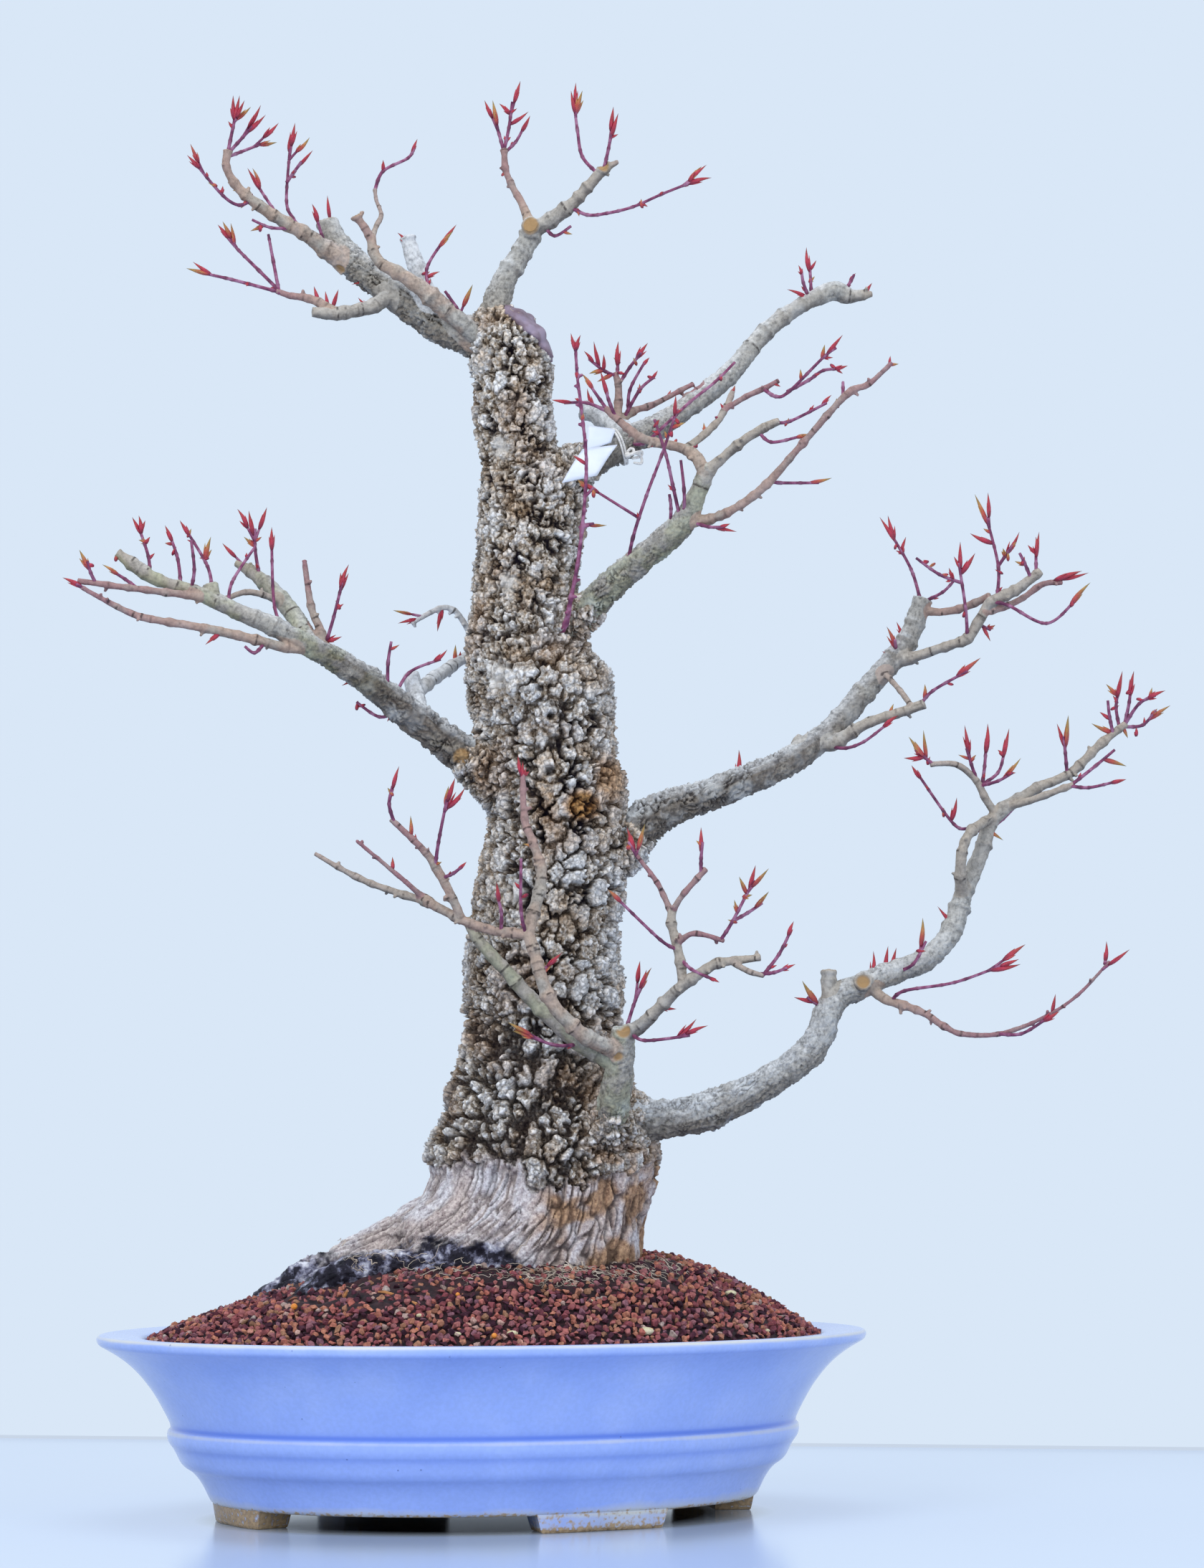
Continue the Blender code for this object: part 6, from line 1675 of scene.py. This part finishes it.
def make_stage(settings):
    """A pale table in plain pale surroundings, soft lights, and the camera."""
    top = sheet("table", TABLE_FRONT + TABLE_BACK, lacquered_board_painted_shadow_and_glow(settings))
    strip = TABLE_BACK[::-1] + [corner + EDGE_STRIP for corner in TABLE_BACK]
    border = sheet("table_edge", strip, glowing_edge_painted_highlight())
    make_lights(settings)
    camera = bpy.data.cameras.new("front_camera")
    camera.sensor_fit = "VERTICAL"
    camera.sensor_height = 36.0
    camera.lens = settings.lens
    camera.clip_end = 30
    holder = bpy.data.objects.new("front_camera", camera)
    holder.location = EYE * MM
    holder.rotation_euler = (math.radians(90 + settings.pitch), 0, 0)
    bpy.context.scene.collection.objects.link(holder)
    bpy.context.scene.camera = holder
    bpy.context.scene.view_settings.view_transform = "Standard"


# ---------------------------------------------------------------- settings, operators and panel

def colour(name, words, default):
    return StringProperty(name=name, description=words + ", as an sRGB hex value", default=default)


def number(name, words, default, **limits):
    return FloatProperty(name=name, description=words, default=default, **limits)


class BonsaiPotSettings(bpy.types.PropertyGroup):
    """Colours of the pot."""
    glaze: colour("Glaze", "The glaze over most of the pot", "#9EB7F5")
    deep: colour("Deep glaze", "The glaze where its cloudy patches are deepest", "#95AFF0")
    light: colour("Light glaze", "The glaze where its cloudy patches are lightest", "#AEC3F8")
    pool: colour("Pooled glaze", "The glaze in grooves", "#6082DE")
    edge: colour("Thin glaze", "The glaze where it breaks over edges", "#D6D6CC")
    pinhole: colour("Pinholes", "Pinholes and specks in the glaze", "#3F5290")
    clay: colour("Clay", "Bare stoneware", "#B59B78")
    clay_dark: colour("Dark clay", "Bare stoneware in its pores", "#7E6748")


class BonsaiBarkSettings(bpy.types.PropertyGroup):
    """Colours and relief of the bark, shoots and buds."""
    relief: number("Bark relief", "How far the cork plates stand out", 1.0, min=0.2, max=2.0)
    # dark and pale cork fall where the relief sinks and where it stands out, so they are also painted shade and
    # painted light
    cork: colour("Cork", "Weathered cork plates", "#B8A894")
    cork_light: colour("Pale cork", "The plates' palest faces", "#EAE1D6")
    cork_dark: colour("Dark cork", "The plates' sides", "#766450")
    cleft: colour("Clefts", "Clefts between plates", "#150E18")
    limb: colour("Limb bark", "Grown limbs", "#A5A39D")
    green: colour("Green bark", "Young limbs' green blush", "#949868")
    peach: colour("Peach bark", "Thin limbs", "#AC907C")
    cut_wood: colour("Cut wood", "Old cuts", "#A5865F")
    shoot: colour("Shoots", "This year's shoots", "#824062")
    bud: colour("Buds", "Bud scales", "#AC3448")
    bud_tip: colour("Bud tips", "Tips of opening buds", "#A8824A")
    plump: number("Bud plumpness", "Scale of the buds' thickness", 1.0, min=0.5, max=2.0)


class BonsaiSoilSettings(bpy.types.PropertyGroup):
    """Size, number and colours of the granules."""
    count: IntProperty(name="Granules", description="Most granules laid on the mound", default=13500, min=100,
                       max=20000)
    smallest: number("Smallest granule", "Finest sieve, in millimetres", 3.8, min=1.0)
    largest: number("Largest granule", "Coarsest sieve, in millimetres", 6.0, min=1.5)
    granule: colour("Granules", "Most granules", "#9E625E")
    granule_dark: colour("Dark granules", "The darkest granules", "#4E2C38")


class BonsaiStageSettings(bpy.types.PropertyGroup):
    """Camera, light and backdrop."""
    # the table's colour is that of the board's painted glow; the lacquer's own colour is fixed in its material
    table: colour("Table", "The board under the pot", "#D3E2F6")
    backdrop: colour("Backdrop", "The surroundings", "#D9E7F7")
    key_power: number("Key light", "Power of the key softbox in watts", 38.0, min=0.0)
    sky: number("Ambient light", "Strength of the even light from all round", 0.62, min=0.0)
    lens: number("Lens", "Focal length in millimetres", 106.37, min=10.0)
    pitch: number("Pitch", "Degrees that the camera looks up", 4.11)


class BONSAI_OT_stage(bpy.types.Operator):
    """Adds the table, surroundings, lights and camera."""
    bl_idname = "bonsai.stage"
    bl_label = "Stage"

    def execute(self, context):
        make_stage(context.scene.bonsai_stage)
        return {"FINISHED"}


class BONSAI_OT_pot(bpy.types.Operator):
    """Builds the glazed pot with its four feet."""
    bl_idname = "bonsai.pot"
    bl_label = "Pot"

    def execute(self, context):
        glaze = glazed_stoneware(context.scene.bonsai_pot)
        make_pot_body(glaze)
        shift = math.degrees(math.asin(18 / (SPAN - 71)))
        for number, (middle, length) in enumerate(((0, 76), (90 + shift, 88), (180, 76), (270 + shift, 88))):
            make_foot(number + 1, middle, length, glaze)
        return {"FINISHED"}


class BONSAI_OT_drainage(bpy.types.Operator):
    """Finishes the drain meshes and their clips, which keep their solids' shapes."""
    bl_idname = "bonsai.drainage"
    bl_label = "Drain meshes and clips"

    def execute(self, context):
        # moulded polyethylene mesh: dull black; anodised aluminium wire: satin brown
        grid = plain_look("moulded_polyethylene", "#1B1C1D", "#2B2C2E", 4, 0.55)
        wire = plain_look("anodised_aluminium_wire", "#6B4E38", "#7E5F47", 3, 0.38, Metallic=1.0)
        for node, finish in (("drain_mesh", grid), ("mesh_clip", wire)):
            for number in (1, 2):
                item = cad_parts["%s_%d" % (node, number)]
                item.data.materials.clear()
                item.data.materials.append(finish)
        return {"FINISHED"}


class BONSAI_OT_trunk(bpy.types.Operator):
    """Builds the corky trunk with its roots, and the paste on its old cut."""
    bl_idname = "bonsai.trunk"
    bl_label = "Trunk"

    def execute(self, context):
        mesh = trunk_mesh()
        trunk_relief(mesh, context.scene.bonsai_bark.relief)
        trunk = add_piece("corky_trunk", mesh, [corky_bark(context.scene.bonsai_bark)], ["trunk"])
        # wound paste: a rubbery brown-violet film, dull where it has weathered
        make_wound_paste(trunk.data, plain_look("dried_wound_paste", "#6E5A63", "#948799", 9, 0.6, .4))
        return {"FINISHED"}


class BONSAI_OT_limbs(bpy.types.Operator):
    """Builds each limb: its wood, and its shoots with their buds."""
    bl_idname = "bonsai.limbs"
    bl_label = "Limbs"

    def execute(self, context):
        settings = context.scene.bonsai_bark
        bark, shoot, scales = limb_bark(settings), young_shoot(settings), bud_scales(settings)
        for name, runs in LIMBS:
            wood, twigs = limb_runs(runs)
            limb_wood(name, wood, shoot if name == "front_shoot" else bark)
            limb_shoots(name, wood, twigs, [shoot, scales], settings.plump)
        return {"FINISHED"}


class BONSAI_OT_soil(bpy.types.Operator):
    """Heaps the soil, and lays its granules, bits and fine roots on it."""
    bl_idname = "bonsai.soil"
    bl_label = "Soil"

    def execute(self, context):
        settings = context.scene.bonsai_soil
        # wet peat between roots: black-brown crumbs that hardly shine
        peat = plain_look("wet_peat", "#140C10", "#3A2024", 5, 0.75, 1.2)
        mound = face_tree(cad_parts["soil"].data)
        bed = add_piece("soil_bed", soil_form(mound), [peat], ["soil"])
        count = settings.count
        make_granules("soil_granules_top", mound, count, (settings.smallest, settings.largest),
                      fired_granules(settings), 3)
        trees = [face_tree(bed.data), face_tree(bpy.data.objects["corky_trunk"].data)]
        # fine roots: bark-less and cream, grey where dry
        make_fine_roots(trees, plain_look("fine_maple_roots", "#8A7A6C", "#DCCFC0", 12, 0.6))
        pellet = plain_look("coated_fertiliser_pellets", "#D9822F", "#E79A45", 3, 0.35)
        pumice = plain_look("crushed_pumice", "#B9B08C", "#DAD4B4", 2, 0.9, .5)
        chip = plain_look("pine_bark_chips", "#8A5A36", "#B98252", 4, 0.8, .5)
        make_scattered(trees[0], [pellet, pumice, chip])
        return {"FINISHED"}


class BONSAI_OT_label(bpy.types.Operator):
    """Hangs the blank card on its cord."""
    bl_idname = "bonsai.label"
    bl_label = "Label"

    def execute(self, context):
        # coated card: smooth white; cotton cord: matte white fibres
        make_label(plain_look("coated_card", "#DCE4F4", "#EAF0FA", 20, 0.4, Subsurface_Weight=0.1))
        make_tie(plain_look("cotton_cord", "#D5D3D0", "#F0EFEC", 1.2, 0.9, .5))
        return {"FINISHED"}


OPERATORS = [BONSAI_OT_stage, BONSAI_OT_pot, BONSAI_OT_drainage, BONSAI_OT_trunk, BONSAI_OT_limbs,
             BONSAI_OT_soil, BONSAI_OT_label]
SETTINGS = [("bonsai_pot", BonsaiPotSettings), ("bonsai_bark", BonsaiBarkSettings),
            ("bonsai_soil", BonsaiSoilSettings), ("bonsai_stage", BonsaiStageSettings)]


class BONSAI_PT_panel(bpy.types.Panel):
    """The bonsai's settings and the steps that build it."""
    bl_idname = "BONSAI_PT_panel"
    bl_label = "Maple Bonsai"
    bl_space_type = "VIEW_3D"
    bl_region_type = "UI"
    bl_category = "Bonsai"

    def draw(self, context):
        for name, group in SETTINGS:
            box = self.layout.box()
            for key in group.__annotations__:
                box.prop(getattr(context.scene, name), key)
        for operator in OPERATORS:
            self.layout.operator(operator.bl_idname)


def register():
    for name, group in SETTINGS:
        bpy.utils.register_class(group)
        setattr(bpy.types.Scene, name, PointerProperty(type=group))
    for operator in OPERATORS:
        bpy.utils.register_class(operator)
    bpy.utils.register_class(BONSAI_PT_panel)


def unregister():
    bpy.utils.unregister_class(BONSAI_PT_panel)
    for operator in reversed(OPERATORS):
        bpy.utils.unregister_class(operator)
    for name, group in reversed(SETTINGS):
        delattr(bpy.types.Scene, name)
        bpy.utils.unregister_class(group)


def main():
    register()
    bpy.ops.bonsai.stage()
    bpy.ops.bonsai.pot()
    bpy.ops.bonsai.drainage()
    bpy.ops.bonsai.trunk()
    bpy.ops.bonsai.limbs()
    bpy.ops.bonsai.soil()
    bpy.ops.bonsai.label()


if __name__ == "__main__":
    main()
